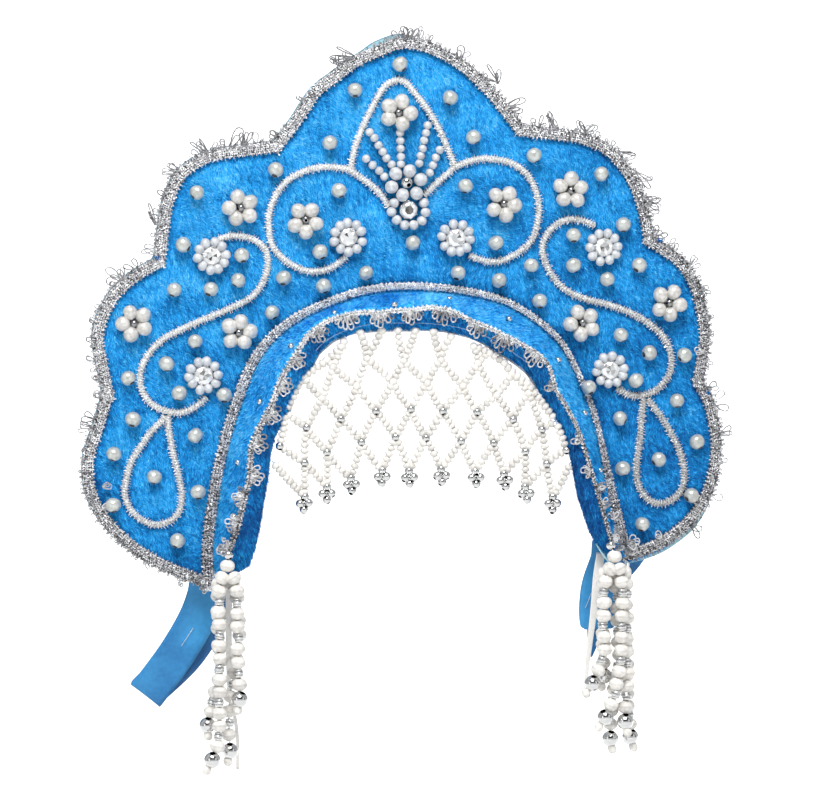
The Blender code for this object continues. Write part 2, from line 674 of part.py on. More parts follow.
def net_loops():
    """The net's outer loop and its gaps, each a loop of knots."""
    edge = net_edge()
    half = len(edge) // 2
    top = [p for p in edge if p.y > -30]
    pairs = [[min(top, key=lambda p: abs(p.x - x)) for x in pair] for pair in NET_TOP_PAIRS]
    left = [min(edge[:half], key=lambda p: abs(p.y - z)) for z in NET_SIDE_HEIGHTS["left"]]
    right = [min(edge[half:], key=lambda p: abs(p.y - z)) for z in NET_SIDE_HEIGHTS["right"]]
    rows = [net_row(name) for name in NET_ROWS]
    first, second, fourth, tips = rows[0], rows[1], rows[3], rows[4]
    cells = [[pair[0], knot, pair[1]] for pair, knot in zip(pairs, first)]
    for j in range(len(first) - 1):
        cells.append([pairs[j][1], first[j], second[j + 1], first[j + 1], pairs[j + 1][0]])
    for above, row, below in zip(rows, rows[1:], rows[2:]):
        cells += [[above[j], row[j], below[j + 1], row[j + 1]] for j in range(len(above))]
    cells.append([pairs[0][0], left[0], second[0]])
    for k, (upper, lower) in enumerate(zip(rows[1:], rows[2:])):
        cells.append([left[k], left[k + 1], lower[0], upper[0]])
        if k:
            cells.append([right[k], upper[-1], lower[-1], right[k + 1]])
    outer = left[::-1] + [point for pair in pairs for point in pair] + right + net_flower(tips[-1])
    for knot, tip in zip(fourth[::-1], tips[-2::-1]):
        outer += [knot] + net_flower(tip)
    return outer, [cell for cell in cells if abs(loop_area(cell)) > NET_LEAST_GAP]


def build_net():
    outer, cells = net_loops()
    half = NET_CORD / 2
    flat_piece("bead_net", inset(outer, -half), NET_FORWARD - half, NET_CORD, "pearl",
               [inset(cell, half) for cell in cells])


def build_tassels():
    for side, places in TASSEL_HEADS.items():
        bead, pearl = (at(*place) for place in places)
        thread = rod_mesh(bead, pearl, THREAD_RADIUS, 6)
        head = fuse(thread, [ball_mesh(HEAD_BEAD_RADIUS, [bead]), ball_mesh(PEARL_RADIUS - 0.1, [pearl])])
        add_object(f"tassel_head_{side}", head, "pearl")
    for name, points in STRANDS.items():
        curve = bpy.data.curves.new(name, "CURVE")
        curve.dimensions = "3D"
        curve.bevel_depth = STRAND_RADIUS * MM
        curve.bevel_resolution = 2
        curve.use_fill_caps = True
        spline = curve.splines.new("POLY")
        spline.points.add(len(points) - 1)
        for node, point in zip(spline.points, points):
            node.co = (*at(*point), 1.0)
        spline.points[0].radius = THREAD_RADIUS / STRAND_RADIUS
        tube = bpy.data.objects.new(name + "_tube", curve)
        parts.objects.link(tube)
        mesh = evaluated(tube)
        bpy.data.objects.remove(tube)
        add_object(name, fuse(mesh, [ball_mesh(BALL_RADIUS, [at(*points[-1])])]), "pearl")


def build_strips():
    """Ribbons and tapes: flat strips whose front and back face keep the cloth's thickness."""
    for name, rows in STRIPS.items():
        path = [Vector((x, z, forward)) for x, z, forward, width in rows]
        rings = []
        for point, way, row in zip(path, directions(path), rows):
            across = Vector((way.y, -way.x, 0.0))
            across = across.normalized() if across.length > 0.3 else last_across
            if rings and across.dot(last_across) < 0:
                across = -across
            last_across = across
            out = way.cross(across).normalized() * CLOTH_THICKNESS / 2
            side = across * row[3] / 2
            corners = (point - side - out, point - side + out, point + side + out, point + side - out)
            rings.append([at(*corner) for corner in corners])
        loft(name, rings, "blue_satin" if name.startswith("ribbon") else "white_tape")


for old in list(bpy.data.objects):
    bpy.data.objects.remove(old)
parts = bpy.data.collections.new("kokoshnik")
bpy.context.scene.collection.children.link(parts)

lobed_edge = crest_edge()
build_crest(lobed_edge)
build_edge_braid(lobed_edge)
build_arch_braid()
build_hoop()
build_lace()
build_cords()
build_flowers()
build_rosettes()
build_palmette()
build_net()
build_tassels()
build_strips()
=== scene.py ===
import math

import bpy
import numpy as np
from mathutils import Matrix, Vector, kdtree


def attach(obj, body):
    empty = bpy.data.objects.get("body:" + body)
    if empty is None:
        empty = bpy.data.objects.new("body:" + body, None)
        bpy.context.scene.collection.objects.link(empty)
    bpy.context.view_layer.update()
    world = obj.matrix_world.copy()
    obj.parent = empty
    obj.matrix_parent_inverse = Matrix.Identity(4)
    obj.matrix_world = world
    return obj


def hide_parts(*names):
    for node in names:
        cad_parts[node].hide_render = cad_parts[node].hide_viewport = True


# The looks of a kokoshnik: plush, silver braid, sewn pearls, a bead net and two tassels.
# Work is laid out as (x, z, forward) in millimetres, forward being towards the front, along -Y.

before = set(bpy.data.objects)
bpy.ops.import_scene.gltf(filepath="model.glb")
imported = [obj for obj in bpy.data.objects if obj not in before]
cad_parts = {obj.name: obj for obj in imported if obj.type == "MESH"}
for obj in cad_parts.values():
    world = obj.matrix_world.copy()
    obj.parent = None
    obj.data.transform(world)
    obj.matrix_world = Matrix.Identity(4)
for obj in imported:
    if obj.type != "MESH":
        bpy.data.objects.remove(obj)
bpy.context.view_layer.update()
mm = 0.001
print("frame loaded,", len(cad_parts), "nodes")


def toWorld(points):
    return np.column_stack([points[:, 0], -points[:, 2], points[:, 1]]) * mm


def emptyShape():
    return {"points": [], "faces": [], "tones": [], "count": 0}


def addTo(shape, points, faces, tone=0.5):
    # faces is a list of index arrays, each with as many columns as its faces have corners
    points = np.asarray(points, float).reshape(-1, 3)
    shape["points"].append(points)
    shape["faces"] += [np.asarray(part, int) + shape["count"] for part in faces if len(part)]
    shape["tones"].append(np.broadcast_to(np.asarray(tone, float), (len(points),)))
    shape["count"] += len(points)


def makePiece(name, shape, finish, replaced=(), smooth=True):
    points = toWorld(np.vstack(shape["points"]))
    mesh = bpy.data.meshes.new(name)
    mesh.vertices.add(len(points))
    mesh.vertices.foreach_set("co", points.astype(np.float32).ravel())
    corners = np.concatenate([part.ravel() for part in shape["faces"]])
    sizes = np.concatenate([np.full(len(part), part.shape[1]) for part in shape["faces"]])
    mesh.loops.add(len(corners))
    mesh.loops.foreach_set("vertex_index", corners.astype(np.int32))
    mesh.polygons.add(len(sizes))
    mesh.polygons.foreach_set("loop_start", (np.cumsum(sizes) - sizes).astype(np.int32))
    mesh.polygons.foreach_set("use_smooth", np.full(len(sizes), smooth))
    tone = mesh.attributes.new("tone", "FLOAT", "POINT")
    tone.data.foreach_set("value", np.concatenate(shape["tones"]).astype(np.float32))
    mesh.update()
    mesh.materials.append(finish)
    piece = bpy.data.objects.new(name, mesh)
    bpy.context.scene.collection.objects.link(piece)
    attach(piece, "root")
    if replaced:
        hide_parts(*replaced)
    print(f"  {name}: {int((sizes - 2).sum())} triangles")
    return piece


def smoothPath(points, steps=8):
    # a smooth curve that passes through the points
    pts = np.array(points, float)
    pts = np.vstack([2 * pts[0] - pts[1], pts, 2 * pts[-1] - pts[-2]])
    t = np.arange(steps)[:, None] / steps
    parts = [0.5 * (2 * b + (c - a) * t + (2 * a - 5 * b + 4 * c - d) * t ** 2
                    + (3 * b - a - 3 * c + d) * t ** 3)
             for a, b, c, d in zip(pts, pts[1:], pts[2:], pts[3:])]
    return np.vstack(parts + [pts[-2:-1]])


def lengthsAlong(path):
    return np.concatenate([[0.0], np.cumsum(np.linalg.norm(np.diff(path, axis=0), axis=1))])


def pathAt(path, places):
    # the points that lie at given lengths along a path
    lengths = lengthsAlong(path)
    return np.column_stack([np.interp(places, lengths, column) for column in path.T])


def evenly(path, spacing):
    # the same path with points a fixed distance apart
    total = lengthsAlong(path)[-1]
    return pathAt(path, np.linspace(0, total, max(2, int(round(total / spacing)) + 1)))


def ways(path, blur=1):
    # unit directions along a path, evened out over some points so that corners turn softly
    step = np.gradient(path, axis=0)
    if blur > 1:
        kernel = np.ones(blur) / blur
        wide = np.pad(step, ((blur, blur), (0, 0)), "edge")
        step = np.column_stack([np.convolve(column, kernel, "same")[blur:-blur] for column in wide.T])
    return step / np.linalg.norm(step, axis=1, keepdims=True)


def toRight(way):
    return np.stack([way[..., 1], -way[..., 0]], axis=-1)


def nearest(path, x, z):
    return int(np.argmin(np.linalg.norm(path - (x, z), axis=1)))


def lifted(point, forward):
    return np.array([*point, forward])


def byShare(share, table):
    return np.interp(share, *np.array(table, float).T)


def softNoise(points, size, seed):
    # a smooth random field from about -1 to 1, its spots about size millimetres across
    rng = np.random.default_rng(seed)
    total = np.zeros(len(points))
    for _ in range(14):
        way = rng.normal(size=points.shape[1])
        way /= np.linalg.norm(way)
        total += np.sin(points @ way * 2 * math.pi / (size * rng.uniform(1.3, 3.2)) + rng.uniform(0, 6.3))
    return total / 4.0


def gridFaces(rows, columns, closed=False):
    # quads between rows of points, the last column joined to the first where closed
    i = np.arange(rows - 1)[:, None]
    j = np.arange(columns if closed else columns - 1)[None, :]
    k = (j + 1) % columns
    return np.stack([i * columns + j, i * columns + k, (i + 1) * columns + k, (i + 1) * columns + j],
                    axis=-1).reshape(-1, 4)


def slabFaces(rows, columns):
    # both faces and the four walls of a grid that is doubled, the second copy behind the first
    face, count = gridFaces(rows, columns), rows * columns
    walls = []
    for line in (np.arange(rows) * columns, np.arange(rows) * columns + columns - 1,
                 np.arange(columns), (rows - 1) * columns + np.arange(columns)):
        walls.append(np.column_stack([line[:-1], line[1:], line[1:] + count, line[:-1] + count]))
    return [face, face[:, ::-1] + count, np.vstack(walls)]


def addLoft(shape, rings, tone=0.5):
    # a closed skin through rings of equal point counts
    rings = np.asarray(rings)
    count, sides = rings.shape[:2]
    ends = [np.arange(sides)[None, ::-1], (count - 1) * sides + np.arange(sides)[None, :]]
    addTo(shape, rings.reshape(-1, 3), [gridFaces(count, sides, closed=True)] + ends, tone)


def addThreads(shape, paths, radius, sides=4, tone=0.5, flat=1.0, twist=0.0):
    # tubes along many paths of equal point counts at once; flat squeezes them like foil, which twist turns
    paths = np.asarray(paths, float)
    if paths.ndim == 2:
        paths = paths[None]
    many, count = paths.shape[:2]
    step = np.gradient(paths, axis=1)
    step /= np.maximum(np.linalg.norm(step, axis=2, keepdims=True), 1e-9)
    forward = np.where(np.abs(step[..., 2:3]) > 0.93, np.array([1.0, 0.1, 0.0]), np.array([0.0, 0.0, 1.0]))
    side = np.cross(step, forward)
    side /= np.maximum(np.linalg.norm(side, axis=2, keepdims=True), 1e-9)
    up = np.cross(side, step)
    turn = (np.arange(count) * twist)[None, :, None] + np.arange(sides) * 2 * math.pi / sides
    radius = np.broadcast_to(np.asarray(radius, float), (many, count))[..., None, None]
    ring = (side[:, :, None, :] * np.cos(turn)[..., None]
            + up[:, :, None, :] * np.sin(turn)[..., None] * flat) * radius
    points = (paths[:, :, None, :] + ring).reshape(many, -1, 3)
    caps = np.stack([np.arange(sides)[::-1], (count - 1) * sides + np.arange(sides)])
    base = (np.arange(many) * count * sides)[:, None, None]
    tone = np.asarray(tone, float)
    tone = tone[:, None] if tone.ndim == 1 and len(tone) == many else tone
    tones = np.repeat(np.broadcast_to(tone, (many, count)).ravel(), sides)
    faces = [gridFaces(count, sides, closed=True)[None] + base, caps[None] + base]
    addTo(shape, points, [part.reshape(-1, part.shape[-1]) for part in faces], tones)


def lathe(profile, sides, tones=None):
    # a bead or cup turned round its own axis; profile is (radius, height), its ends on the axis
    profile = np.array(profile, float)
    inner = profile[1:-1]
    angle = np.arange(sides) * 2 * math.pi / sides
    rings = np.stack([inner[:, :1] * np.cos(angle), inner[:, :1] * np.sin(angle),
                      np.repeat(inner[:, 1:], sides, axis=1)], axis=-1)
    points = np.vstack([[0, 0, profile[0, 1]], rings.reshape(-1, 3), [0, 0, profile[-1, 1]]])
    last = len(points) - 1
    near, far = 1 + np.arange(sides), 1 + (len(inner) - 1) * sides + np.arange(sides)
    faces = [gridFaces(len(inner), sides, closed=True)[:, ::-1] + 1,
             np.column_stack([np.zeros(sides, int), near, np.roll(near, -1)]),
             np.column_stack([np.full(sides, last), np.roll(far, -1), far])]
    tones = np.full(len(profile), 0.6) if tones is None else np.array(tones, float)
    spread = np.concatenate([[tones[0]], np.repeat(tones[1:-1], sides), [tones[-1]]])
    return {"points": points, "faces": faces, "tones": spread}


def roundBead(width, height, sides, rings, hole=0.0, seam=0.0):
    # a bead with its hole from pole to pole; tone 0 paints the inside of the hole dark as shade, and seam
    # greys its middle
    angles = np.linspace(0, math.pi, rings + 2)
    body = [(width / 2 * math.sin(a), height / 2 * math.cos(a)) for a in angles]
    if hole:
        rim = height / 2 * math.sqrt(max(0.05, 1 - (2 * hole / width) ** 2))
        inside = [(0, rim - 0.9), (hole * 0.75, rim - 0.5), (hole * 0.92, rim - 0.04), (hole * 1.06, rim)]
        body = [p for p in body if p[0] > hole * 1.25]
    else:
        inside, body = body[:1], body[1:-1]
    middle = [0.6 - seam * math.exp(-(h / 0.35) ** 2) for _, h in body]
    ends = [0, 0, 0.05, 0.5] if hole else [0.6]
    return lathe(inside + body + [(r, -h) for r, h in inside[::-1]], sides, ends + middle + ends[::-1])


def lumpy(bead, amount, seed):
    # pressed imitation pearls aren't quite round
    points = bead["points"]
    swell = 1 + amount * softNoise(points / np.abs(points).max() * 3.0, 2.2, seed)
    return {**bead, "points": points * swell[:, None]}


def addBead(shape, bead, place, axis=(0, 1, 0), scale=1.0, spin=0.0, shade=0.0):
    axis = np.asarray(axis, float) / np.linalg.norm(axis)
    other = np.array([0.0, 0.0, 1.0]) if abs(axis[2]) < 0.9 else np.array([1.0, 0.0, 0.0])
    a = np.cross(other, axis)
    a /= np.linalg.norm(a)
    b = np.cross(axis, a)
    c, s = math.cos(spin), math.sin(spin)
    turn = np.stack([a * c + b * s, -a * s + b * c, axis])
    tones = bead["tones"] + np.where(bead["tones"] > 0.3, shade, 0.0)
    addTo(shape, (bead["points"] * scale) @ turn + np.asarray(place, float), bead["faces"], tones)


def trianglesOf(faces):
    return np.vstack([part[:, [0, k, k + 1]] for part in faces for k in range(1, part.shape[1] - 1)])


def scatterOn(points, tones, faces, count, rng):
    # random places on a skin, even over its area, with the normals and tones there
    corners = trianglesOf(faces)
    a, b, c = points[corners].transpose(1, 0, 2)
    cross = np.cross(b - a, c - a)
    area = np.linalg.norm(cross, axis=1)
    chosen = rng.choice(len(corners), count, p=area / area.sum())
    u, v = rng.random((2, count, 1))
    u, v = np.where(u + v > 1, 1 - u, u), np.where(u + v > 1, 1 - v, v)
    shares = np.concatenate([1 - u - v, u, v], axis=1)
    roots = (points[corners[chosen]] * shares[..., None]).sum(axis=1)
    return roots, cross[chosen] / area[chosen, None], (tones[corners[chosen]] * shares).sum(axis=1)


def linear(code):
    values = [int(code[i:i + 2], 16) / 255 for i in (1, 3, 5)]
    return tuple(v / 12.92 if v <= 0.04045 else ((v + 0.055) / 1.055) ** 2.4 for v in values) + (1.0,)


def addNode(tree, kind, settings=None, links=None):
    # settings are the node's own properties, its inputs' values or a ramp's stops;
    # links name an input and the (node, output) that feeds it
    node = tree.nodes.new(kind)
    for key, value in (settings or {}).items():
        if key == "stops":
            elements = node.color_ramp.elements
            while len(elements) < len(value):
                elements.new(0.5)
            for element, (place, code) in zip(elements, value):
                element.position, element.color = place, linear(code)
        elif hasattr(node, str(key)):
            setattr(node, key, value)
        else:
            node.inputs[key].default_value = value
    for key, (source, output) in (links or {}).items():
        tree.links.new(source.outputs[output], node.inputs[key])
    return node


def startMaterial(name, settings):
    finish = bpy.data.materials.new(name)
    finish.use_nodes = True
    tree = finish.node_tree
    shader = tree.nodes["Principled BSDF"]
    for key, value in settings.items():
        shader.inputs[key].default_value = value
    return finish, tree, shader


def makePlush():
    # polyester velour, woven and brushed: matt azure pile that shows lighter and darker strokes as it lies
    finish, tree, shader = startMaterial("plushVelour", {
        "Roughness": 0.8, "Sheen Weight": 0.3, "Sheen Roughness": 0.35, "Sheen Tint": linear("#8CD6FF"),
        "Specular IOR Level": 0.25})
    coords = addNode(tree, "ShaderNodeTexCoord")
    # strokes of pile 0.5 mm wide and 2.5 mm long, lying down to the right
    stroke = [1 / (size * mm) for size in (0.5, 2.0, 2.5)]
    lay = addNode(tree, "ShaderNodeMapping", {"Rotation": (0, math.radians(-32), 0), "Scale": stroke},
                  {"Vector": (coords, "Object")})
    strokes = addNode(tree, "ShaderNodeTexNoise", {"Scale": 1.0, "Detail": 2.0, "Roughness": 0.6},
                      {"Vector": (lay, "Vector")})
    tone = addNode(tree, "ShaderNodeAttribute", {"attribute_name": "tone"})
    mixed = addNode(tree, "ShaderNodeMath", {"operation": "MULTIPLY_ADD", 1: 0.4},
                    {0: (strokes, "Fac"), 2: (tone, "Fac")})
    ramp = addNode(tree, "ShaderNodeValToRGB", {"stops": [
        (0.1, "#044890"), (0.38, "#0E7AC4"), (0.58, "#1EAAF2"), (0.78, "#4CCAFF"), (1.0, "#90E4FF")]},
        {"Fac": (mixed, "Value")})
    tree.links.new(ramp.outputs["Color"], shader.inputs["Base Color"])
    bump = addNode(tree, "ShaderNodeBump", {"Strength": 0.3, "Distance": 0.4 * mm},
                   {"Height": (strokes, "Fac")})
    tree.links.new(bump.outputs["Normal"], shader.inputs["Normal"])
    return finish


def makeFoilThread(name, stops, metallic=0.5, roughness=0.32, grain=0.5):
    # metallic thread: polyester foil with a metal coat, wound on a core and knitted; its glitter is painted
    # into the colour as bright and dark specks over the metal's own gloss, and grain is the size of a speck
    # in millimetres
    finish, tree, shader = startMaterial(name, {"Metallic": metallic, "Roughness": roughness})
    coords = addNode(tree, "ShaderNodeTexCoord")
    specks = addNode(tree, "ShaderNodeTexNoise", {"Scale": 1 / (grain * mm), "Detail": 2.0, "Roughness": 0.7},
                     {"Vector": (coords, "Object")})
    tone = addNode(tree, "ShaderNodeAttribute", {"attribute_name": "tone"})
    mixed = addNode(tree, "ShaderNodeMath", {"operation": "MULTIPLY_ADD", 1: 0.7},
                    {0: (specks, "Fac"), 2: (tone, "Fac")})
    ramp = addNode(tree, "ShaderNodeValToRGB", {"stops": stops}, {"Fac": (mixed, "Value")})
    tree.links.new(ramp.outputs["Color"], shader.inputs["Base Color"])
    bump = addNode(tree, "ShaderNodeBump", {"Strength": 0.5, "Distance": 0.2 * mm},
                   {"Height": (specks, "Fac")})
    tree.links.new(bump.outputs["Normal"], shader.inputs["Normal"])
    return finish


def makePearl(name, light, shade, roughness, coat, metallic=0.0):
    # imitation pearl: moulded acrylic with a nacre lacquer, soft gloss over a milky body, faintly mottled
    finish, tree, shader = startMaterial(name, {
        "Metallic": metallic, "Roughness": roughness, "IOR": 1.5, "Coat Weight": coat,
        "Coat Roughness": 0.18, "Specular IOR Level": 0.4})
    coords = addNode(tree, "ShaderNodeTexCoord")
    # clouds in the lacquer, about 1.6 mm across
    clouds = addNode(tree, "ShaderNodeTexNoise", {"Scale": 620.0, "Detail": 1.5},
                     {"Vector": (coords, "Object")})
    body = addNode(tree, "ShaderNodeValToRGB", {"stops": [(0.35, shade), (0.65, light)]},
                   {"Fac": (clouds, "Fac")})
    tone = addNode(tree, "ShaderNodeAttribute", {"attribute_name": "tone"})
    # tone 0 paints the inside of a drilled hole dark, as painted shade
    inHole = addNode(tree, "ShaderNodeMapRange", {"From Min": 0.1, "From Max": 0.6},
                     {"Value": (tone, "Fac")})
    colour = addNode(tree, "ShaderNodeMix", {"data_type": "RGBA"}, {"Factor": (inHole, "Result")})
    colour.inputs[6].default_value = linear("#1B1A18")
    tree.links.new(body.outputs["Color"], colour.inputs[7])
    tree.links.new(colour.outputs[2], shader.inputs["Base Color"])
    bump = addNode(tree, "ShaderNodeBump", {"Strength": 0.15, "Distance": 0.3 * mm},
                   {"Height": (clouds, "Fac")})
    tree.links.new(bump.outputs["Normal"], shader.inputs["Normal"])
    return finish


def makeChrome(name, code, roughness):
    # vacuum-metallised plastic beads: mirror-bright with dulled spots 1.1 mm across; low tones are painted
    # shade, black inside their holes
    finish, tree, shader = startMaterial(name, {"Metallic": 1.0})
    coords = addNode(tree, "ShaderNodeTexCoord")
    wear = addNode(tree, "ShaderNodeTexNoise", {"Scale": 900.0, "Detail": 2.0},
                   {"Vector": (coords, "Object")})
    dull = addNode(tree, "ShaderNodeMapRange", {
        "From Min": 0.35, "From Max": 0.75, "To Min": roughness, "To Max": roughness + 0.12},
        {"Value": (wear, "Fac")})
    tree.links.new(dull.outputs["Result"], shader.inputs["Roughness"])
    tone = addNode(tree, "ShaderNodeAttribute", {"attribute_name": "tone"})
    colour = addNode(tree, "ShaderNodeValToRGB", {"stops": [(0.1, "#050506"), (0.55, code)]},
                     {"Fac": (tone, "Fac")})
    tree.links.new(colour.outputs["Color"], shader.inputs["Base Color"])
    return finish


def makeSatin(name, light, dark, spots, roughness=0.38):
    # polyester satin, woven with long floats and pressed: a soft sheen, faintly uneven where the floats pull;
    # spots is how many uneven places a metre has across, forward and up
    finish, tree, shader = startMaterial(name, {
        "Roughness": roughness, "Sheen Weight": 0.1, "Sheen Roughness": 0.3, "Anisotropic": 0.4})
    coords = addNode(tree, "ShaderNodeTexCoord")
    stretch = addNode(tree, "ShaderNodeMapping", {"Scale": spots}, {"Vector": (coords, "Object")})
    floats = addNode(tree, "ShaderNodeTexNoise", {"Scale": 1.0, "Detail": 2.0},
                     {"Vector": (stretch, "Vector")})
    # broad patches about 17 mm across
    clouds = addNode(tree, "ShaderNodeTexNoise", {"Scale": 60.0, "Detail": 1.0},
                     {"Vector": (coords, "Object")})
    tone = addNode(tree, "ShaderNodeAttribute", {"attribute_name": "tone"})
    mixed = addNode(tree, "ShaderNodeMix", {"data_type": "FLOAT", "Factor": 0.25},
                    {"A": (clouds, "Fac"), "B": (floats, "Fac")})
    # the lower the tone, the deeper the cloth lies in shade
    shaded = addNode(tree, "ShaderNodeMath", {"operation": "ADD"}, {0: (mixed, "Result"), 1: (tone, "Fac")})
    ramp = addNode(tree, "ShaderNodeValToRGB", {"stops": [(0.5, dark), (1.0, light)]},
                   {"Fac": (shaded, "Value")})
    tree.links.new(ramp.outputs["Color"], shader.inputs["Base Color"])
    bump = addNode(tree, "ShaderNodeBump", {"Strength": 0.15, "Distance": 0.2 * mm},
                   {"Height": (floats, "Fac")})
    tree.links.new(bump.outputs["Normal"], shader.inputs["Normal"])
    return finish


def makeTape():
    # bleached cotton-polyester tape, plain woven: matt white with a grain; its 0.25 mm threads are drawn
    # 0.5 mm apart so that they show
    finish, tree, shader = startMaterial("wovenTape", {"Roughness": 0.65, "Sheen Weight": 0.1})
    coords = addNode(tree, "ShaderNodeTexCoord")
    weave = addNode(tree, "ShaderNodeTexVoronoi", {"Scale": 1 / (0.5 * mm)}, {"Vector": (coords, "Object")})
    ramp = addNode(tree, "ShaderNodeValToRGB", {"stops": [(0.1, "#E4E2DE"), (0.8, "#F2F0EC")]},
                   {"Fac": (weave, "Distance")})
    tree.links.new(ramp.outputs["Color"], shader.inputs["Base Color"])
    bump = addNode(tree, "ShaderNodeBump", {"Strength": 0.2, "Distance": 0.2 * mm},
                   {"Height": (weave, "Distance")})
    tree.links.new(bump.outputs["Normal"], shader.inputs["Normal"])
    return finish


def makeStone():
    # foil-backed cut acrylic: every facet throws back a different piece of the room, partly by its gloss and
    # partly as a painted reflection in the facet's tone
    finish, tree, shader = startMaterial("foiledStone", {
        "Metallic": 0.35, "Roughness": 0.08, "Coat Weight": 0.6, "Coat Roughness": 0.03})
    tone = addNode(tree, "ShaderNodeAttribute", {"attribute_name": "tone"})
    ramp = addNode(tree, "ShaderNodeValToRGB", {"stops": [
        (0.0, "#4A443E"), (0.3, "#A9A9A8"), (0.55, "#E9EBEC"), (1.0, "#FFFFFF")]}, {"Fac": (tone, "Fac")})
    tree.links.new(ramp.outputs["Color"], shader.inputs["Base Color"])
    return finish


def makeNylon():
    # clear monofilament, drawn from a melt: it shows only as a pale glint over the plush
    finish = startMaterial("clearNylon", {
        "Base Color": linear("#A9CDEE"), "Roughness": 0.15, "IOR": 1.53, "Transmission Weight": 0.4})[0]
    return finish


plush = makePlush()
silverThread = makeFoilThread("silverFoilThread", [
    (0.3, "#3E3E41"), (0.48, "#9D9DA1"), (0.66, "#DEDEE0"), (0.84, "#FFFFFF")])
silverLoops = makeFoilThread("silverFoilLoops", [(0.25, "#58585B"), (0.52, "#A9A9AC"), (0.85, "#F4F4F4")],
                             roughness=0.35)
whiteGimp = makeFoilThread("whiteGimp", [(0.3, "#77787A"), (0.52, "#C6C5C3"), (0.8, "#FAFAF8")],
                           metallic=0.25, roughness=0.45, grain=0.6)
silverPearl = makePearl("silverWhitePearl", "#D4D7D2", "#B8BBB6", 0.32, 1.0, 0.3)
petalPearl = makePearl("petalPearl", "#E4E2DE", "#C6C3BD", 0.32, 1.0, 0.15)
whitePearl = makePearl("whitePearl", "#D3D6D9", "#B6BABF", 0.28, 0.7)
netPearl = makePearl("netPearl", "#F2EFEA", "#E0DCD5", 0.38, 0.15)
chrome = makeChrome("silverBead", "#DBDBDA", 0.1)
ringedBead = makeChrome("ringedSilverBead", "#ECECEB", 0.26)
# a darker silver for the beads at the flowers' centres
darkBead = makeChrome("darkSilverBead", "#98999B", 0.18)
stone = makeStone()
ribbonSatin = makeSatin("ribbonSatin", "#3B9AD4", "#0F5C98", (500, 500, 500), 0.42)
liningSatin = makeSatin("liningSatin", "#B4E1E9", "#9ACEDB", (1100, 200, 150))
tapeWeave = makeTape()
nylon = makeNylon()
print("materials made")

# the outlines that the pieces share
crestLobes = {
    "left": [
        [(-52.0, 77.4), (-61.1, 76.4), (-73.1, 75.2), (-81.1, 73.0), (-89.2, 68.1), (-94.1, 61.6),
         (-97.5, 53.0), (-98.9, 45.1), (-100.8, 32.1)],
        [(-100.8, 32.1), (-108.1, 28.4), (-116.2, 22.3), (-121.1, 16.2), (-124.8, 8.4), (-126.3, 0.5),
         (-125.6, -5.5), (-122.9, -21.0)],
        [(-122.9, -21.0), (-127.7, -35.1), (-130.7, -43.0), (-131.7, -50.9), (-131.1, -58.9),
         (-128.6, -66.1), (-124.4, -73.1), (-117.9, -80.5), (-109.3, -87.6), (-99.5, -93.3),
         (-91.7, -96.8), (-82.6, -100.6)]],
    "right": [
        [(48.9, 81.1), (63.5, 79.1), (71.6, 77.7), (79.7, 74.7), (86.9, 69.7), (92.5, 62.7), (96.8, 54.2),
         (99.5, 45.3), (101.4, 34.8)],
        [(101.4, 34.8), (107.4, 30.6), (113.5, 25.6), (118.3, 18.6), (121.4, 10.4), (123.6, -5.8),
         (120.8, -23.9)],
        [(120.8, -23.9), (124.8, -32.2), (127.5, -46.4), (127.3, -54.6), (126.0, -62.6), (122.9, -71.5),
         (117.8, -79.4), (111.5, -85.6), (103.2, -91.0), (96.9, -93.6), (87.4, -96.7)]],
    "top": [(-52.0, 77.4), (-45.0, 85.9), (-36.7, 97.5), (-28.6, 103.6), (-20.4, 109.4), (-10.3, 113.9),
            (-0.4, 117.0), (7.8, 116.2), (15.7, 113.3), (23.7, 108.7), (31.6, 102.2), (39.5, 93.6),
            (48.9, 81.1)],
}
archPoints = [
    (-82.4, -97.6), (-82.3, -82.6), (-80.0, -66.7), (-76.9, -50.9), (-72.2, -34.4), (-65.0, -15.6),
    (-59.2, -5.6), (-50.8, 2.7), (-38.5, 9.8), (-18.8, 16.4), (-0.4, 18.0), (20.0, 16.0), (38.5, 11.2),
    (52.0, 3.1), (61.2, -5.5), (67.3, -15.9), (74.5, -34.3), (78.0, -49.0), (81.0, -65.0), (84.4, -81.2),
    (87.0, -93.6)]
# the hoop's section at shares of the way from its top to its ends, below zero on the left:
# share, lace line inward, front face forward, innermost point inward
hoopTable = np.array([
    (-1.0, 5.6, 10.0, 14.6), (-0.91, 7.2, 15.5, 17.8), (-0.85, 9.2, 18.0, 18.6), (-0.72, 10.8, 20.0, 18.6),
    (-0.64, 8.5, 20.0, 17.2), (-0.59, 9.2, 20.0, 17.0), (-0.52, 11.2, 20.0, 19.0), (-0.4, 10.6, 20.0, 19.0),
    (-0.34, 9.0, 20.0, 17.9), (-0.29, 6.2, 20.0, 15.2), (-0.23, 4.9, 20.0, 13.2), (-0.16, 5.8, 20.0, 13.8),
    (-0.09, 8.4, 20.0, 15.6), (0.0, 8.6, 20.0, 16.6), (0.05, 7.3, 20.0, 16.4), (0.1, 7.9, 20.0, 16.3),
    (0.17, 11.2, 20.0, 17.3), (0.27, 13.0, 20.0, 19.6), (0.34, 12.2, 20.0, 19.6), (0.4, 11.3, 20.0, 19.4),
    (0.455, 11.6, 20.0, 19.4), (0.52, 13.4, 20.0, 18.8), (0.62, 11.1, 20.0, 16.2), (0.72, 9.9, 20.0, 15.2),
    (0.82, 8.2, 18.5, 15.4), (0.91, 7.0, 15.0, 13.6), (1.0, 4.6, 10.0, 9.4)])
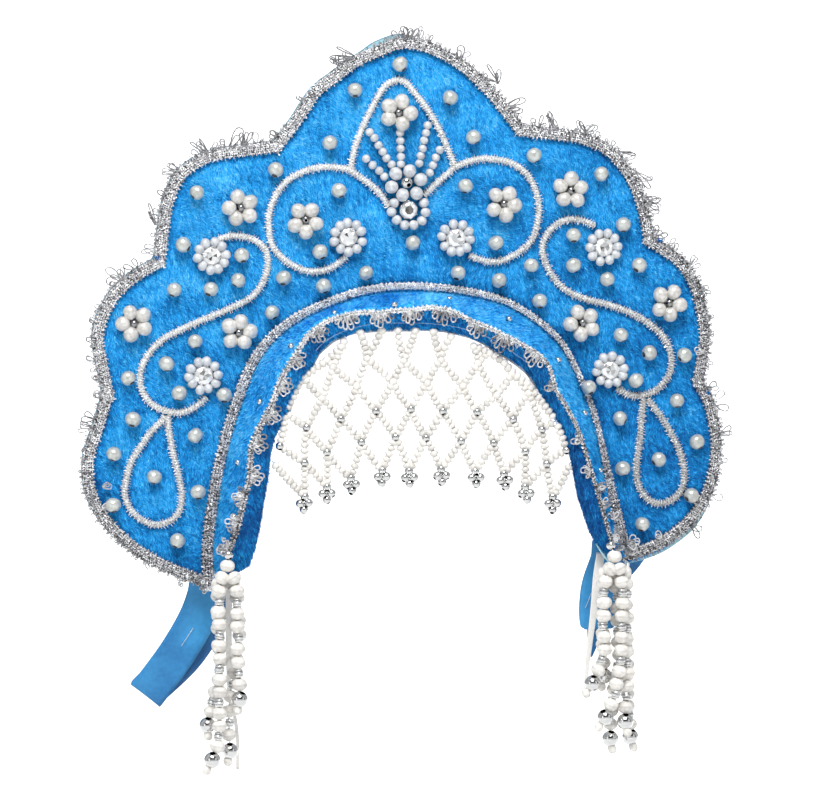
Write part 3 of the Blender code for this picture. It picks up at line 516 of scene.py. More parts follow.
scrolls = {
    "centre_arch_cord": [
        (-21.3, 65.1), (-19.4, 73.5), (-15.6, 82.7), (-11.3, 90.7), (-7.1, 97.3), (-2.3, 99.8), (1.2, 99.1),
        (4.7, 95.0), (9.2, 89.1), (13.8, 81.4), (17.2, 73.7), (20.5, 65.1)],
    "upper_scroll_left": [
        (-6.4, 49.9), (-10.4, 55.8), (-14.4, 59.4), (-20.2, 63.6), (-22.8, 65.1), (-32.0, 66.2),
        (-41.3, 64.2), (-48.7, 59.4), (-53.5, 51.3), (-54.6, 43.2), (-53.0, 35.0), (-46.7, 28.4),
        (-38.5, 24.9), (-30.2, 26.0), (-23.7, 30.4)],
    "upper_scroll_right": [
        (7.9, 53.6), (13.3, 58.7), (18.1, 62.6), (20.6, 64.7), (28.1, 67.3), (35.4, 67.6), (43.8, 65.5),
        (50.2, 60.3), (53.7, 51.9), (54.0, 44.6), (51.5, 35.5), (45.8, 30.1), (38.3, 26.7), (31.8, 26.9),
        (25.4, 29.4)],
    "lower_scroll_left": [
        (-74.8, 38.8), (-68.4, 40.0), (-61.1, 38.4), (-56.2, 34.1), (-55.4, 27.7), (-57.9, 20.5),
        (-62.9, 15.0), (-72.8, 10.5), (-81.8, 7.1), (-90.1, 3.7), (-98.3, -0.4), (-104.1, -6.3),
        (-107.1, -12.7), (-106.9, -19.2), (-103.8, -24.9), (-98.2, -28.4), (-91.8, -29.5), (-86.0, -27.6),
        (-81.1, -23.7)],
    "lower_scroll_right": [
        (76.8, 39.8), (70.3, 42.3), (63.8, 42.0), (58.1, 38.0), (55.2, 31.7), (56.9, 24.3), (60.8, 17.8),
        (65.8, 13.4), (73.2, 10.2), (81.5, 7.9), (90.6, 4.3), (98.9, -0.8), (104.6, -6.8), (107.0, -13.5),
        (106.5, -20.0), (102.6, -25.7), (96.7, -28.8), (90.0, -28.9), (84.2, -25.9)],
    "teardrop_left": [
        (-97.9, -30.4), (-98.6, -32.0), (-103.3, -36.3), (-107.5, -41.9), (-111.7, -48.2), (-114.0, -55.4),
        (-114.6, -61.9), (-112.3, -67.7), (-107.5, -72.0), (-101.9, -73.8), (-96.2, -72.0), (-92.8, -67.7),
        (-92.1, -61.1), (-93.2, -53.8), (-95.0, -45.6), (-96.4, -36.6), (-96.7, -31.9), (-96.9, -30.4)],
    "teardrop_right": [
        (95.7, -30.4), (95.1, -32.2), (94.4, -38.6), (93.4, -48.5), (92.0, -56.7), (92.3, -64.1),
        (95.1, -70.0), (100.0, -73.1), (105.9, -72.1), (110.2, -68.1), (111.6, -61.5), (110.1, -53.2),
        (106.8, -45.6), (102.4, -38.0), (98.2, -32.3), (97.2, -30.5)],
}


def crestSides():
    # the seven lobes in order from the left bottom tip, over the top, to the right bottom tip
    left = [smoothPath(lobe)[::-1] for lobe in crestLobes["left"][::-1]]
    return left + [smoothPath(crestLobes["top"])] + [smoothPath(lobe) for lobe in crestLobes["right"]]


def crestEdge(spacing):
    whole = crestSides()
    return evenly(np.vstack([part[:-1] for part in whole] + [whole[-1][-1:]]), spacing)


def archLine(spacing):
    return evenly(smoothPath(archPoints), spacing)


def archShares(path):
    # how far each point of the arch is from its top, as a share of the half, below zero on the left
    lengths = lengthsAlong(path)
    middle = lengths[np.argmin(np.abs(path[:, 0] + 0.4))]
    return (lengths - middle) / np.where(lengths < middle, middle, lengths[-1] - middle)


def hoopSize(shares, column):
    return np.interp(shares, hoopTable[:, 0], hoopTable[:, column])


def blades(shape, roots, normals, nap, tones, size, rng):
    # pile as small leaning triangles: root, a way mostly along the cloth, and a random roll
    count = len(roots)
    along = nap - normals * (nap * normals).sum(1, keepdims=True)
    along /= np.maximum(np.linalg.norm(along, axis=1, keepdims=True), 1e-6)
    swing = rng.normal(0, size["swing"], (count, 1))
    way = along * np.cos(swing) + np.cross(normals, along) * np.sin(swing)
    lift = np.clip(rng.normal(size["lift"], 0.13, (count, 1)), 0.05, 1.2)
    way = way * np.cos(lift) + normals * np.sin(lift)
    wide = np.cross(way, normals)
    wide /= np.maximum(np.linalg.norm(wide, axis=1, keepdims=True), 1e-6)
    roll = rng.normal(0, 0.7, (count, 1))
    wide = wide * np.cos(roll) + np.cross(way, wide) * np.sin(roll)
    length = size["length"] * rng.uniform(0.65, 1.2, (count, 1))
    width = size["width"] * rng.uniform(0.7, 1.3, (count, 1))
    points = np.stack([roots - wide * width / 2, roots + wide * width / 2, roots + way * length], axis=1)
    # roots are painted darker and tips lighter, as shade down in the pile and light on its tips
    tone = tones[:, None] + rng.normal(0, size["contrast"], (count, 1)) + np.array([[-0.06, -0.06, 0.08]])
    addTo(shape, points, [np.arange(count * 3).reshape(-1, 3)], tone.ravel())


crestSizes = {
    "surface": 1.5, "back": -0.4, "columns": 24, "underBraid": 0.9, "pile": 170000,
    "blade": {"length": 1.6, "width": 0.36, "lift": 0.36, "swing": 0.4, "contrast": 0.11},
    # tufts that push up between the braid's ends at three of the notches
    "tufts": {"places": [(-99.6, 32.6), (102.4, 33.2), (121.4, -28.6)], "forward": 3.6, "blades": 16},
    # where the lining shows past the braid: x, z, length along the edge, how far it shows
    "lining": {"front": -0.85, "back": -1.75, "columns": 12, "underBraid": 0.2,
               "peeks": [(-5.5, 115.2, 9.0, 1.5), (106.0, -89.0, 22.0, 2.2)]},
    # the turned-in corner of blue satin at the lower right
    "corner": {"thick": 0.4, "points": [
        (88.4, -96.0, -2.4), (96.6, -94.8, -2.4), (93.2, -99.2, -2.3), (90.2, -102.4, -2.2)]},
}


def fallOff(points):
    # the light falls off from the upper left to the lower right, from about 0.5 to -0.5
    return np.clip((-points[..., 0] * 0.6 + points[..., 1]) / 260, -0.5, 0.5)


def crestSteps(columns):
    # shares of the way from the arch to the edge, the last ones close together for a crisp rim
    return np.append(np.linspace(0, 0.985, columns - 2), (0.993, 1.0))


def crestGrid(edge, arch, columns):
    # points in rows from the arch seam out to the edge, matched by share of each half
    lengths = lengthsAlong(edge)
    top = lengths[np.argmax(edge[:, 1])]
    edgeShare = (lengths - top) / np.where(lengths < top, top, lengths[-1] - top)
    inner = np.column_stack([np.interp(edgeShare, archShares(arch), column) for column in arch.T])
    t = crestSteps(columns)[None, :, None]
    return inner[:, None, :] * (1 - t) + edge[:, None, :] * t


def napField(points):
    # the way the pile was brushed: down and to the right, wandering from place to place
    angle = math.radians(-58) + 0.4 * softNoise(points[:, :2], 24, 5) + 0.3 * softNoise(points[:, :2], 7, 6)
    return np.column_stack([np.cos(angle), np.sin(angle), np.zeros(len(points))])


def pileTone(points):
    # clumps of pile 2 mm long that lie together, on broad light and dark patches
    turn = math.radians(-58)
    along = points[:, 0] * math.cos(turn) + points[:, 1] * math.sin(turn)
    across = -points[:, 0] * math.sin(turn) + points[:, 1] * math.cos(turn)
    clumps = softNoise(np.column_stack([along / 2.0, across]), 1.0, 11)
    broad = softNoise(points[:, :2], 13, 12)
    small = softNoise(points[:, :2], 4.5, 13)
    # the last term is painted light that falls off from the upper left to the lower right
    return 0.37 + 0.09 * clumps + 0.06 * broad + 0.05 * small + 0.22 * fallOff(points)


def trimShade(points):
    # painted shade: the pile is drawn darker within about 2 mm of the cords and braids sewn down over it
    lines = [evenly(smoothPath(cord), 0.8) for cord in scrolls.values()]
    edge, arch = crestEdge(0.8), archLine(0.8)
    lines += [edge + toRight(ways(edge, 5)) * 4.6, arch - toRight(ways(arch)) * 1.4]
    lines = np.vstack(lines)
    tree = kdtree.KDTree(len(lines))
    for k, (x, z) in enumerate(lines):
        tree.insert((x, z, 0), k)
    tree.balance()
    near = np.array([tree.find((x, z, 0))[2] for x, z in points[:, :2]])
    return 0.2 * np.exp(-(near / 1.9) ** 2)


def crestLines():
    # the crest's edge, the way inwards at each of its points, and the seam that lies under the arch braid
    edge, arch = crestEdge(2.0), archLine(1.0)
    return edge, toRight(ways(edge, 3)), arch - toRight(ways(arch)) * 0.7


def buildPlush():
    rng = np.random.default_rng(21)
    edge, inward, arch = crestLines()
    # the plush is turned in under the braid, and shows past it at the lower right corner
    corner = np.exp(-(np.linalg.norm(edge - (97.0, -93.5), axis=1) / 13) ** 4)
    turned = crestSizes["underBraid"] - 1.1 * corner
    grid = crestGrid(edge + inward * turned[:, None], arch, crestSizes["columns"])
    rows, columns = grid.shape[:2]
    flat = grid.reshape(-1, 2)
    share = np.tile(crestSteps(columns), rows)
    rim = np.clip((1 - share) * 14, 0, 1) ** 0.5
    depth = crestSizes["surface"] - 0.9 * (1 - rim) + 0.16 * softNoise(flat, 17, 3)
    front = np.column_stack([flat, depth])
    back = np.column_stack([flat, np.full(len(flat), crestSizes["back"])])
    shape = emptyShape()
    # the cloth under the pile is painted 0.14 darker than the pile's tone, as the shade beneath it
    addTo(shape, np.vstack([front, back]), slabFaces(rows, columns),
          np.concatenate([pileTone(front) - 0.14, np.full(len(flat), 0.2)]))
    makePiece("crest_plush", shape, plush, ["plush_front"])

    roots, normals, _ = scatterOn(front, depth, [gridFaces(rows, columns)], crestSizes["pile"], rng)
    normals = np.where(normals[:, 2:3] < 0, -normals, normals)
    pile = emptyShape()
    tones = pileTone(roots) - trimShade(roots)
    blades(pile, roots, normals, napField(roots), tones, crestSizes["blade"], rng)
    tufts = crestSizes["tufts"]
    for x, z in tufts["places"]:
        spread = rng.normal(0, (0.7, 0.4, 0.2), (tufts["blades"], 3)) + (x, z, tufts["forward"])
        # the tufts are painted dark, as shade between the braid's ends
        blades(pile, spread, np.tile([0.0, 0.0, 1.0], (len(spread), 1)), napField(spread),
               np.full(len(spread), 0.1), crestSizes["blade"], rng)
    makePiece("crest_pile", pile, plush, smooth=False)


def buildLining():
    sizes, corner = crestSizes["lining"], crestSizes["corner"]
    edge, inward, arch = crestLines()
    reach = np.full(len(edge), sizes["underBraid"])
    for x, z, length, shown in sizes["peeks"]:
        near = np.linalg.norm(edge - (x, z), axis=1) / length
        reach = np.minimum(reach, sizes["underBraid"] - shown * np.exp(-near ** 4))
    lining = crestGrid(edge + inward * reach[:, None], arch, sizes["columns"])
    rows, columns = lining.shape[:2]
    flat = lining.reshape(-1, 2)
    sag = 0.22 * softNoise(flat, 24, 8) + 0.07 * softNoise(flat, 6, 9)
    shape = emptyShape()
    addTo(shape, np.vstack([np.column_stack([flat, np.full(len(flat), sizes["front"])]),
                            np.column_stack([flat, sizes["back"] + sag])]), slabFaces(rows, columns))
    makePiece("crest_lining", shape, liningSatin, ["satin_back"])

    points = np.array(corner["points"])
    faces = [(0, 3, 2, 1), (4, 5, 6, 7), (0, 1, 5, 4), (1, 2, 6, 5), (2, 3, 7, 6), (3, 0, 4, 7)]
    shape = emptyShape()
    # tone 0.1 paints it in shade
    addTo(shape, np.vstack([points, points - (0, 0, corner["thick"])]), [np.array(faces)], 0.1)
    makePiece("crest_corner", shape, ribbonSatin, smooth=False)


buildPlush()
buildLining()
print("crest built")


braidSizes = {
    "thread": 0.23, "rib": 0.9, "row": 0.95, "stitch": 0.45, "stitchThread": 0.24,
    "edge": {"width": 5.0, "low": 2.35, "height": 1.05, "mitre": 3.4, "rolled": 0.5},
    # widths and painted light by share of the arch, below zero on the left, or by share of either half
    "arch": {"low": 2.7, "height": 1.0, "past": 2.2,
             "widths": [(-1, 5.0), (-0.75, 4.7), (-0.4, 4.2), (-0.2, 3.4), (0.1, 2.9), (0.3, 2.7), (0.5, 2.4),
                        (0.7, 2.4), (0.82, 3.6), (0.9, 4.3), (1, 4.7)],
             "paintedLight": [(0, 0.22), (0.25, 0.15), (0.5, 0.07), (0.8, 0.02), (1, -0.05)]},
    "lace": {"lift": 0.25, "height": 0.8, "from": -0.92, "to": 0.96,
             "widths": [(-1, 2.8), (-0.5, 2.7), (-0.25, 2.3), (0.2, 2.2), (0.45, 1.9), (1, 1.9)],
             "paintedLight": [(0, 0.26), (0.3, 0.17), (0.6, 0.04), (0.9, -0.1)]},
    # the loops by kind: radius of the thread, points along it, its darkest and brightest tone
    "loops": {"loose": (0.23, 16, -0.02, 0.26), "long": (0.24, 24, -0.02, 0.2),
              "small": (0.2, 10, -0.02, 0.28), "inner": (0.26, 16, 0.2, 0.5),
              "tangle": (0.27, 16, -0.05, 0.5), "laceKnot": (0.24, 10, -0.05, 0.5),
              "laceRound": (0.3, 18, 0.05, 0.5)},
    "smallPitch": 2.3,
}
# where the braid's picots have come loose round the crest: x, z, loops, their reach and half width
looseLoops = [
    (-26.1, 109.1, 8, 4.6, 0.9), (-42.0, 95.3, 3, 2.6, 0.8), (0.6, 118.6, 6, 3.4, 0.9),
    (5.6, 118.6, 7, 4.4, 1.0), (11.5, 116.6, 3, 2.8, 0.8), (25.3, 111.5, 2, 4.4, 1.3),
    (35.5, 102.1, 2, 2.2, 0.7), (49.4, 89.1, 2, 4.0, 1.2), (54.0, 82.0, 6, 3.6, 0.9),
    (60.2, 82.6, 4, 5.2, 1.0), (73.5, 79.4, 5, 4.2, 0.9), (79.0, 78.7, 2, 3.0, 1.0),
    (86.0, 72.7, 2, 2.6, 0.9), (92.7, 68.3, 2, 3.4, 0.8), (97.8, 57.4, 2, 5.4, 1.0),
    (100.6, 46.5, 8, 4.6, 1.0), (103.8, 36.4, 6, 4.0, 1.0), (109.0, 31.0, 4, 3.6, 1.0),
    (116.2, 23.6, 5, 3.4, 1.0), (122.6, 13.6, 3, 3.0, 0.9), (124.4, 1.1, 1, 2.0, 0.7),
    (124.2, -5.0, 1, 2.0, 0.7), (122.6, -16.6, 1, 2.2, 0.7), (122.8, -26.0, 4, 3.2, 1.1),
    (126.5, -32.9, 4, 4.4, 1.5), (128.9, -46.0, 6, 4.0, 1.1), (128.8, -56.6, 2, 2.6, 0.9),
    (124.9, -71.9, 1, 5.0, 1.4), (115.6, -85.6, 4, 5.0, 1.2), (-52.6, 81.6, 5, 3.4, 0.9),
    (-58.6, 80.4, 2, 4.4, 1.6), (-65.1, 79.6, 4, 4.6, 1.2), (-72.0, 79.4, 3, 3.6, 1.0),
    (-80.3, 76.2, 6, 4.4, 1.0), (-92.8, 67.6, 5, 4.2, 1.1), (-101.2, 50.7, 4, 3.2, 1.0),
    (-100.4, 42.8, 2, 2.2, 0.9), (-104.6, 35.2, 5, 4.6, 1.0), (-109.0, 31.6, 4, 4.0, 1.0),
    (-117.6, 27.0, 1, 6.4, 1.7), (-114.1, 26.2, 1, 4.0, 1.3), (-116.6, 21.8, 4, 2.6, 0.9),
    (-124.4, 14.3, 3, 2.6, 0.8), (-127.0, 8.8, 3, 2.4, 0.8), (-128.4, 1.4, 1, 2.4, 0.8),
    (-128.2, -8.1, 6, 3.6, 0.9), (-125.8, -14.6, 3, 2.6, 0.9), (-124.6, -23.0, 5, 3.2, 1.1),
    (-128.6, -29.6, 4, 4.8, 1.3), (-129.2, -34.0, 5, 4.2, 1.0), (-107.8, -89.2, 2, 2.4, 0.8),
    (-92.9, -97.2, 3, 2.6, 0.9)]
# the longest ones, worn straight or pulled out: foot, tip and half width
longLoops = [
    (23.5, 107.5, 24.0, 112.9, 1.6), (-20.2, 109.4, -28.8, 109.4, 0.8), (-20.6, 108.8, -27.4, 107.6, 0.5),
    (38.2, 98.9, 34.4, 105.2, 0.6), (38.8, 98.4, 39.0, 103.0, 1.0), (41.6, 88.8, 49.4, 90.8, 1.3),
    (42.2, 87.4, 47.2, 87.0, 0.8), (61.7, 78.8, 58.0, 84.4, 0.5), (62.4, 78.6, 60.2, 82.8, 0.9),
    (74.6, 77.6, 78.4, 79.4, 1.2), (73.4, 78.0, 71.2, 81.4, 0.8), (88.3, 68.9, 93.8, 67.6, 0.5),
    (93.9, 60.7, 99.4, 54.0, 1.0), (97.8, 49.4, 102.6, 45.4, 1.2), (97.6, 50.4, 102.2, 49.8, 0.9),
    (100.7, 34.1, 106.2, 35.4, 1.0), (103.9, 29.1, 109.2, 31.2, 1.2), (-68.8, 75.5, -64.6, 82.4, 1.9),
    (-63.7, 75.3, -62.4, 80.8, 0.8), (-78.4, 73.0, -85.0, 77.4, 0.6), (-76.4, 73.7, -74.6, 77.2, 0.8),
    (-88.5, 65.8, -96.4, 65.4, 0.8), (-95.1, 56.5, -98.4, 58.6, 1.0), (-99.7, 46.4, -102.0, 53.8, 0.5),
    (-113.8, 24.7, -119.6, 28.6, 1.5), (-112.6, 23.8, -114.8, 28.0, 1.2), (2.8, 116.3, 0.4, 120.9, 1.2),
    (4.4, 116.3, 7.0, 119.8, 1.1)]
# rings of thread that stand up from the inner edge of the braid: x, z, where they lead
innerLoops = [
    (-122.6, -57.8, 2.6, 0.2), (-123.0, -66.2, 2.4, 0.8), (119.4, -12.0, -3.0, 0.8),
    (101.0, -86.4, -1.6, 2.0), (-66.6, -22.9, -2.4, 0.6), (-67.0, -20.4, -2.0, 1.2)]
# loops where the braids' cut ends meet: x, z, forward, angle, loops, reach and half width
endTangles = [
    (79.6, -84.6, 13.0, 60, 12, 4.4, 1.1), (80.6, -88.4, 11.5, 20, 9, 3.6, 1.0),
    (82.4, -81.0, 10.0, 250, 8, 3.4, 1.0), (86.6, -88.6, 6.5, 55, 10, 5.0, 1.2),
    (83.4, -89.6, 8.0, 200, 8, 3.2, 1.0), (78.6, -77.0, 15.5, 70, 8, 4.0, 1.0),
    (85.6, -94.0, 5.0, 20, 7, 2.8, 0.9), (88.8, -93.4, 4.4, 80, 7, 3.4, 1.0),
    (-75.8, -83.0, 14.8, 150, 9, 4.6, 1.1), (-84.2, -96.4, 4.2, 200, 8, 2.8, 0.9),
    (-80.6, -95.6, 5.4, 20, 8, 3.0, 0.9), (-82.8, -99.4, 3.6, 280, 7, 2.2, 0.8)]
# the lace's bunches: x, z, half width, how far the middle loop reaches, and 1 where it has turned outwards
laceBunches = [
    (-38.7, 2.4, 3.2, 5.4, 0), (-26.3, 6.4, 3.6, 5.6, 0), (-13.2, 5.5, 3.4, 5.4, 0),
    (-1.2, 5.5, 3.2, 5.2, 0), (12.0, 5.9, 4.2, 5.8, 0), (25.1, 1.1, 3.4, 5.2, 0),
    (35.8, -4.0, 4.2, 6.2, 0), (47.6, -11.6, 3.6, 5.4, 0), (54.9, -22.9, 2.0, 3.6, 0),
    (64.0, -44.8, 1.6, 3.8, 0), (68.6, -56.6, 1.5, 3.4, 0), (74.2, -63.6, 1.8, 3.8, 1),
    (76.2, -70.9, 1.6, 3.4, 1), (78.6, -85.6, 1.8, 2.6, 1), (-46.5, -8.8, 3.0, 4.8, 0),
    (-51.6, -19.2, 3.0, 5.0, 0), (-56.6, -30.1, 3.0, 5.4, 0), (-60.8, -41.8, 3.2, 5.6, 0),
    (-65.0, -53.5, 3.2, 5.2, 0), (-72.2, -61.2, 2.8, 4.6, 1), (-76.4, -71.8, 2.8, 4.8, 1),
    (-78.4, -82.0, 2.4, 3.8, 1)]


def knitBand(shape, path, low, widths, height, rng, rolled=0.0, paintedLight=0.0):
    # a bed painted dark as the shade between the threads, foil threads that cross it and turn in small loops
    # at its edges, and rows of small stitches
    lengths, right = lengthsAlong(path), toRight(ways(path, 9))
    paintedLight = np.broadcast_to(paintedLight, len(path))

    def fall(side):
        return 1 - side ** 2 - rolled * np.clip(-side - 0.1, 0, 1)

    def placed(places, side, lift, tone, radius):
        at = np.column_stack([np.interp(places, lengths, column) for column in
                              (path[:, 0], path[:, 1], right[:, 0], right[:, 1], low, widths)])
        flat = at[:, :2] + at[:, 2:4] * (side * at[:, 5] / 2)[:, None]
        # the outer side is rolled back, and painted darker as shade where it turns away
        tone = tone + np.interp(places, lengths, paintedLight) - 0.16 * rolled * np.clip(-side, 0, 1)
        addThreads(shape, np.column_stack([flat, at[:, 4] + lift]), radius, 3, tone[None, :], 0.7, 0.9)

    rings = []
    share = np.linspace(-1, 1, 7)
    thin = slice(None, None, 5)
    for p, r, base, wide in zip(path[thin], right[thin], low[thin], widths[thin]):
        across, up = share * (wide / 2 - 0.3), height * (0.15 + 0.45 * fall(share))
        rings.append([(*(p + r * a), base + u) for a, u in zip(across, up)]
                     + [(*(p + r * a), base + height * min(0.0, -rolled)) for a in across[::-1]])
    addLoft(shape, rings, np.repeat(paintedLight[thin] - 0.08, len(rings[0])))

    turns = int(lengths[-1] / braidSizes["rib"])
    t = np.arange(0, turns, 1 / 6)
    swing = 1 + 0.16 * rng.random(turns + 2)[t.astype(int)] + 0.07 * rng.normal(size=len(t))
    side = np.cos(t * math.pi) * swing
    lift = height * (0.35 + 0.6 * fall(np.clip(side, -1, 1))) + 0.16 * rng.normal(size=len(t))
    places = t * braidSizes["rib"] + 0.15 * rng.normal(size=len(t))
    tones = 0.2 + 0.13 * rng.normal(size=len(t))
    placed(places, side, lift, tones, braidSizes["thread"] * rng.uniform(0.8, 1.25, len(t)))

    rows = max(2, int(round(widths.mean() / braidSizes["row"])))
    for middle in (np.arange(rows) + 0.5) / rows * 2 - 1:
        steps = np.arange(0, lengths[-1], 0.25)
        stitch = steps / braidSizes["stitch"] + rng.uniform(0, 2)
        zigzag = np.abs(stitch % 2 - 1) * 2 - 1
        number = stitch.astype(int)
        kinds = rng.normal(0.24, 0.14, number.max() + 1)
        glint, gap = rng.random((2, number.max() + 1))  # some stitches flash, and some sink into the shade
        kinds += np.where(glint < 0.18, 0.34, 0.0) - np.where(gap < 0.2, 0.26, 0.0)
        side = middle * 0.9 + zigzag * 0.75 / rows + 0.05 * rng.normal(size=len(steps))
        lift = height * (0.5 + 0.6 * fall(side)) + 0.15 * zigzag + 0.1 * rng.normal(size=len(steps))
        placed(steps, side, lift, kinds[number], braidSizes["stitchThread"])


def addLoops(shape, kind, place, along, out, loops, rng):
    # loops of thread that start together; each is (shift along, length, lean in radians, lift, half width)
    radius, steps, darkest, brightest = braidSizes["loops"][kind]
    theta = np.linspace(0, 2 * math.pi, steps)
    lines, shades = [], []
    for shift, length, lean, lift, half in loops:
        way = out * math.cos(lean) + along * math.sin(lean)
        side = toRight(way)
        reach = length * (1 - np.cos(theta)) / 2
        bulge = np.sign(np.sin(theta)) * np.abs(np.sin(theta)) ** 0.8 * np.sin(theta / 2) ** 1.3
        flat = place[:2] + along * shift + way * reach[:, None] + side * (half * 1.25 * bulge)[:, None]
        flat = flat + rng.normal(0, 0.035, flat.shape)
        depth = place[2] + lift * reach / length + 0.2 * np.sin(theta * 1.5 + shift)
        lines.append(np.column_stack([flat, depth]))
        shades.append(rng.uniform(darkest, brightest) + 0.07 * rng.normal(size=steps))
    crimp = radius * rng.uniform(0.85, 1.15, (len(lines), steps))  # the foil is wound in turns that show
    addThreads(shape, lines, crimp, 4, shades)


def buildEdgeBraid(rng):
    # each lobe's length is cut and laid on its own, and the lengths cross at the notches
    sizes, step, trim = braidSizes["edge"], 0.2, 8
    shape = emptyShape()
    lobes = crestSides()
    for number, lobe in enumerate(lobes):
        line = evenly(lobe, step)
        line = line[trim:] if number == 0 else line[:-trim] if number == len(lobes) - 1 else line
        start, end = ways(line)[3], ways(line)[-4]
        more = np.arange(step, sizes["mitre"], step)[:, None]
        if number > 0:
            line = np.vstack([(line[0] - start * more)[::-1], line])
        if number < len(lobes) - 1:
            line = np.vstack([line, line[-1] + end * more])
        line = line + toRight(ways(line, 9)) * (sizes["width"] / 2 + 0.05)
        knitBand(shape, line, np.full(len(line), sizes["low"]), np.full(len(line), sizes["width"]),
                 sizes["height"], rng, sizes["rolled"], 0.035 + 0.16 * np.maximum(fallOff(line), -0.15))
    makePiece("edge_braid_knit", shape, silverThread, ["edge_braid"], smooth=False)


def buildEdgePicots(rng):
    # worn and curly, they stand out past the crest's edge
    shape = emptyShape()
    edge = crestEdge(0.4)
    way, lengths = ways(edge, 9), lengthsAlong(edge)
    right = toRight(way)
    for x, z, count, reach, half in looseLoops:
        k = nearest(edge, x, z)
        count, wide = (count + 1) // 2, 0.5 * count
        loops = [(rng.uniform(-wide, wide) * 0.8, reach * rng.uniform(0.8, 1.35), rng.normal(0, 0.4),
                  rng.normal(0, 0.8), half * rng.uniform(0.7, 1.15)) for _ in range(count)]
        addLoops(shape, "loose", lifted(edge[k] + right[k] * 0.6, 2.7), way[k], -right[k], loops, rng)
    for x, z, tipX, tipZ, half in longLoops:
        reach = math.hypot(tipX - x, tipZ - z)
        out = np.array([tipX - x, tipZ - z]) / reach
        loops = [(0.0, reach + 1.2, 0.0, 0.8, half),
                 (rng.normal(0, 0.5), reach * rng.uniform(0.7, 1.0), rng.normal(0, 0.3), 0.3, half * 0.6)]
        addLoops(shape, "long", lifted((x, z) - out * 1.2, 2.8), -toRight(out), out, loops, rng)
    # the small picots between them, missing on the worn upper left
    places = np.arange(3.0, lengths[-1] - 3, braidSizes["smallPitch"])
    beside = edge[np.searchsorted(lengths, places), 0]
    places = places[(beside < -46) | (beside > -12)]
    for place in places + rng.uniform(-0.6, 0.6, len(places)):
        k = int(np.searchsorted(lengths, place))
        loops = [(0.0, rng.uniform(0.9, 1.7), rng.normal(0, 0.5), rng.normal(0, 0.4),
                  rng.uniform(0.3, 0.5))]
        addLoops(shape, "small", lifted(edge[k] + right[k] * 0.5, 2.6), way[k], -right[k], loops, rng)
    for x, z, across, up in innerLoops:
        reach = math.hypot(across, up)
        out = np.array([across, up]) / reach
        loops = [(0.0, reach + 1.0, 0.0, 0.6, 1.1), (0.3, reach + 0.3, 0.3, 1.0, 0.9)]
        addLoops(shape, "inner", lifted((x, z) - out, 3.6), -toRight(out), out, loops, rng)
    for x, z, forward, angle, count, reach, half in endTangles:
        out = np.array([math.cos(math.radians(angle)), math.sin(math.radians(angle))])
        loops = [(rng.normal(0, 1.1), reach * rng.uniform(0.5, 1.1), rng.normal(0, 0.7),
                  rng.normal(0.4, 0.6), half * rng.uniform(0.6, 1.2)) for _ in range(count)]
        addLoops(shape, "tangle", lifted((x, z), forward), -toRight(out), out, loops, rng)
    makePiece("edge_picots", shape, silverLoops)


def buildArchBraid(rng):
    # the braid over the seam runs on a little past the seam's ends
    sizes, arch = braidSizes["arch"], archLine(0.2)
    way, more = ways(arch), np.arange(0.2, sizes["past"], 0.2)[:, None]
    line = np.vstack([(arch[0] - way[0] * more)[::-1], arch, arch[-1] + way[-1] * more])
    share = np.linspace(-1.02, 1.02, len(line))
    shape = emptyShape()
    knitBand(shape, line, np.full(len(line), sizes["low"]), byShare(share, sizes["widths"]),
             sizes["height"], rng, paintedLight=byShare(np.abs(share), sizes["paintedLight"]))
    makePiece("arch_braid_knit", shape, silverThread, ["arch_braid"], smooth=False)


def buildLace(rng):
    # the same knit, narrower, on the hoop's front edge
    sizes, arch = braidSizes["lace"], archLine(0.2)
    share = archShares(arch)
    keep = (share > sizes["from"]) & (share < sizes["to"])
    whole = np.column_stack([arch + toRight(ways(arch, 9)) * hoopSize(share, 1)[:, None],
                             hoopSize(share, 2) + sizes["lift"], share])[keep]
    whole = evenly(whole, 0.2)
    line, low, share = whole[:, :2], whole[:, 2], whole[:, 3]
    shape = emptyShape()
    knitBand(shape, line, low, byShare(share, sizes["widths"]), sizes["height"], rng,
             paintedLight=byShare(np.abs(share), sizes["paintedLight"]))
    makePiece("lace_knit", shape, silverThread, ["lace_braid"], smooth=False)

    # its picots: a knot of short loops with longer round ones over it
    shape = emptyShape()
    way = ways(line, 15)
    right = toRight(way)
    for x, z, half, reach, turned in laceBunches:
        k = nearest(line, x, z)
        out = -right[k] if turned else right[k]
        start = lifted(line[k] + out * 0.6, low[k] + 0.7)
        knots = [(rng.uniform(-half, half), rng.uniform(1.2, 3.0), rng.uniform(-1.1, 1.1),
                  rng.normal(0, 0.5), rng.uniform(0.35, 0.8)) for _ in range(int(half * 3.4))]
        addLoops(shape, "laceKnot", start, way[k], out, knots, rng)
        rounds = [(-half * 0.7, reach * 0.66, -0.3, 0.3, 1.0), (half * 0.7, reach * 0.66, 0.3, 0.2, 1.0),
                  (0.0, reach, rng.normal(0, 0.12), -0.5, 1.1), (0.2, reach * 0.6, 0.15, 0.5, 0.9),
                  (-half * 0.3, reach * 0.85, -0.15, 0.0, 0.9)]
        addLoops(shape, "laceRound", start, way[k], out, rounds if half > 2.2 else rounds[2:4], rng)
    makePiece("lace_picots", shape, silverLoops)


def buildBraids():
    edgeDraws, hoopDraws = np.random.default_rng(7), np.random.default_rng(8)
    buildEdgeBraid(edgeDraws)
    buildEdgePicots(edgeDraws)
    buildArchBraid(hoopDraws)
    buildLace(hoopDraws)


buildBraids()
print("braids built")


hoopSizes = {"pile": 95000,
             "blade": {"length": 1.8, "width": 0.36, "lift": 0.55, "swing": 0.4, "contrast": 0.11}}


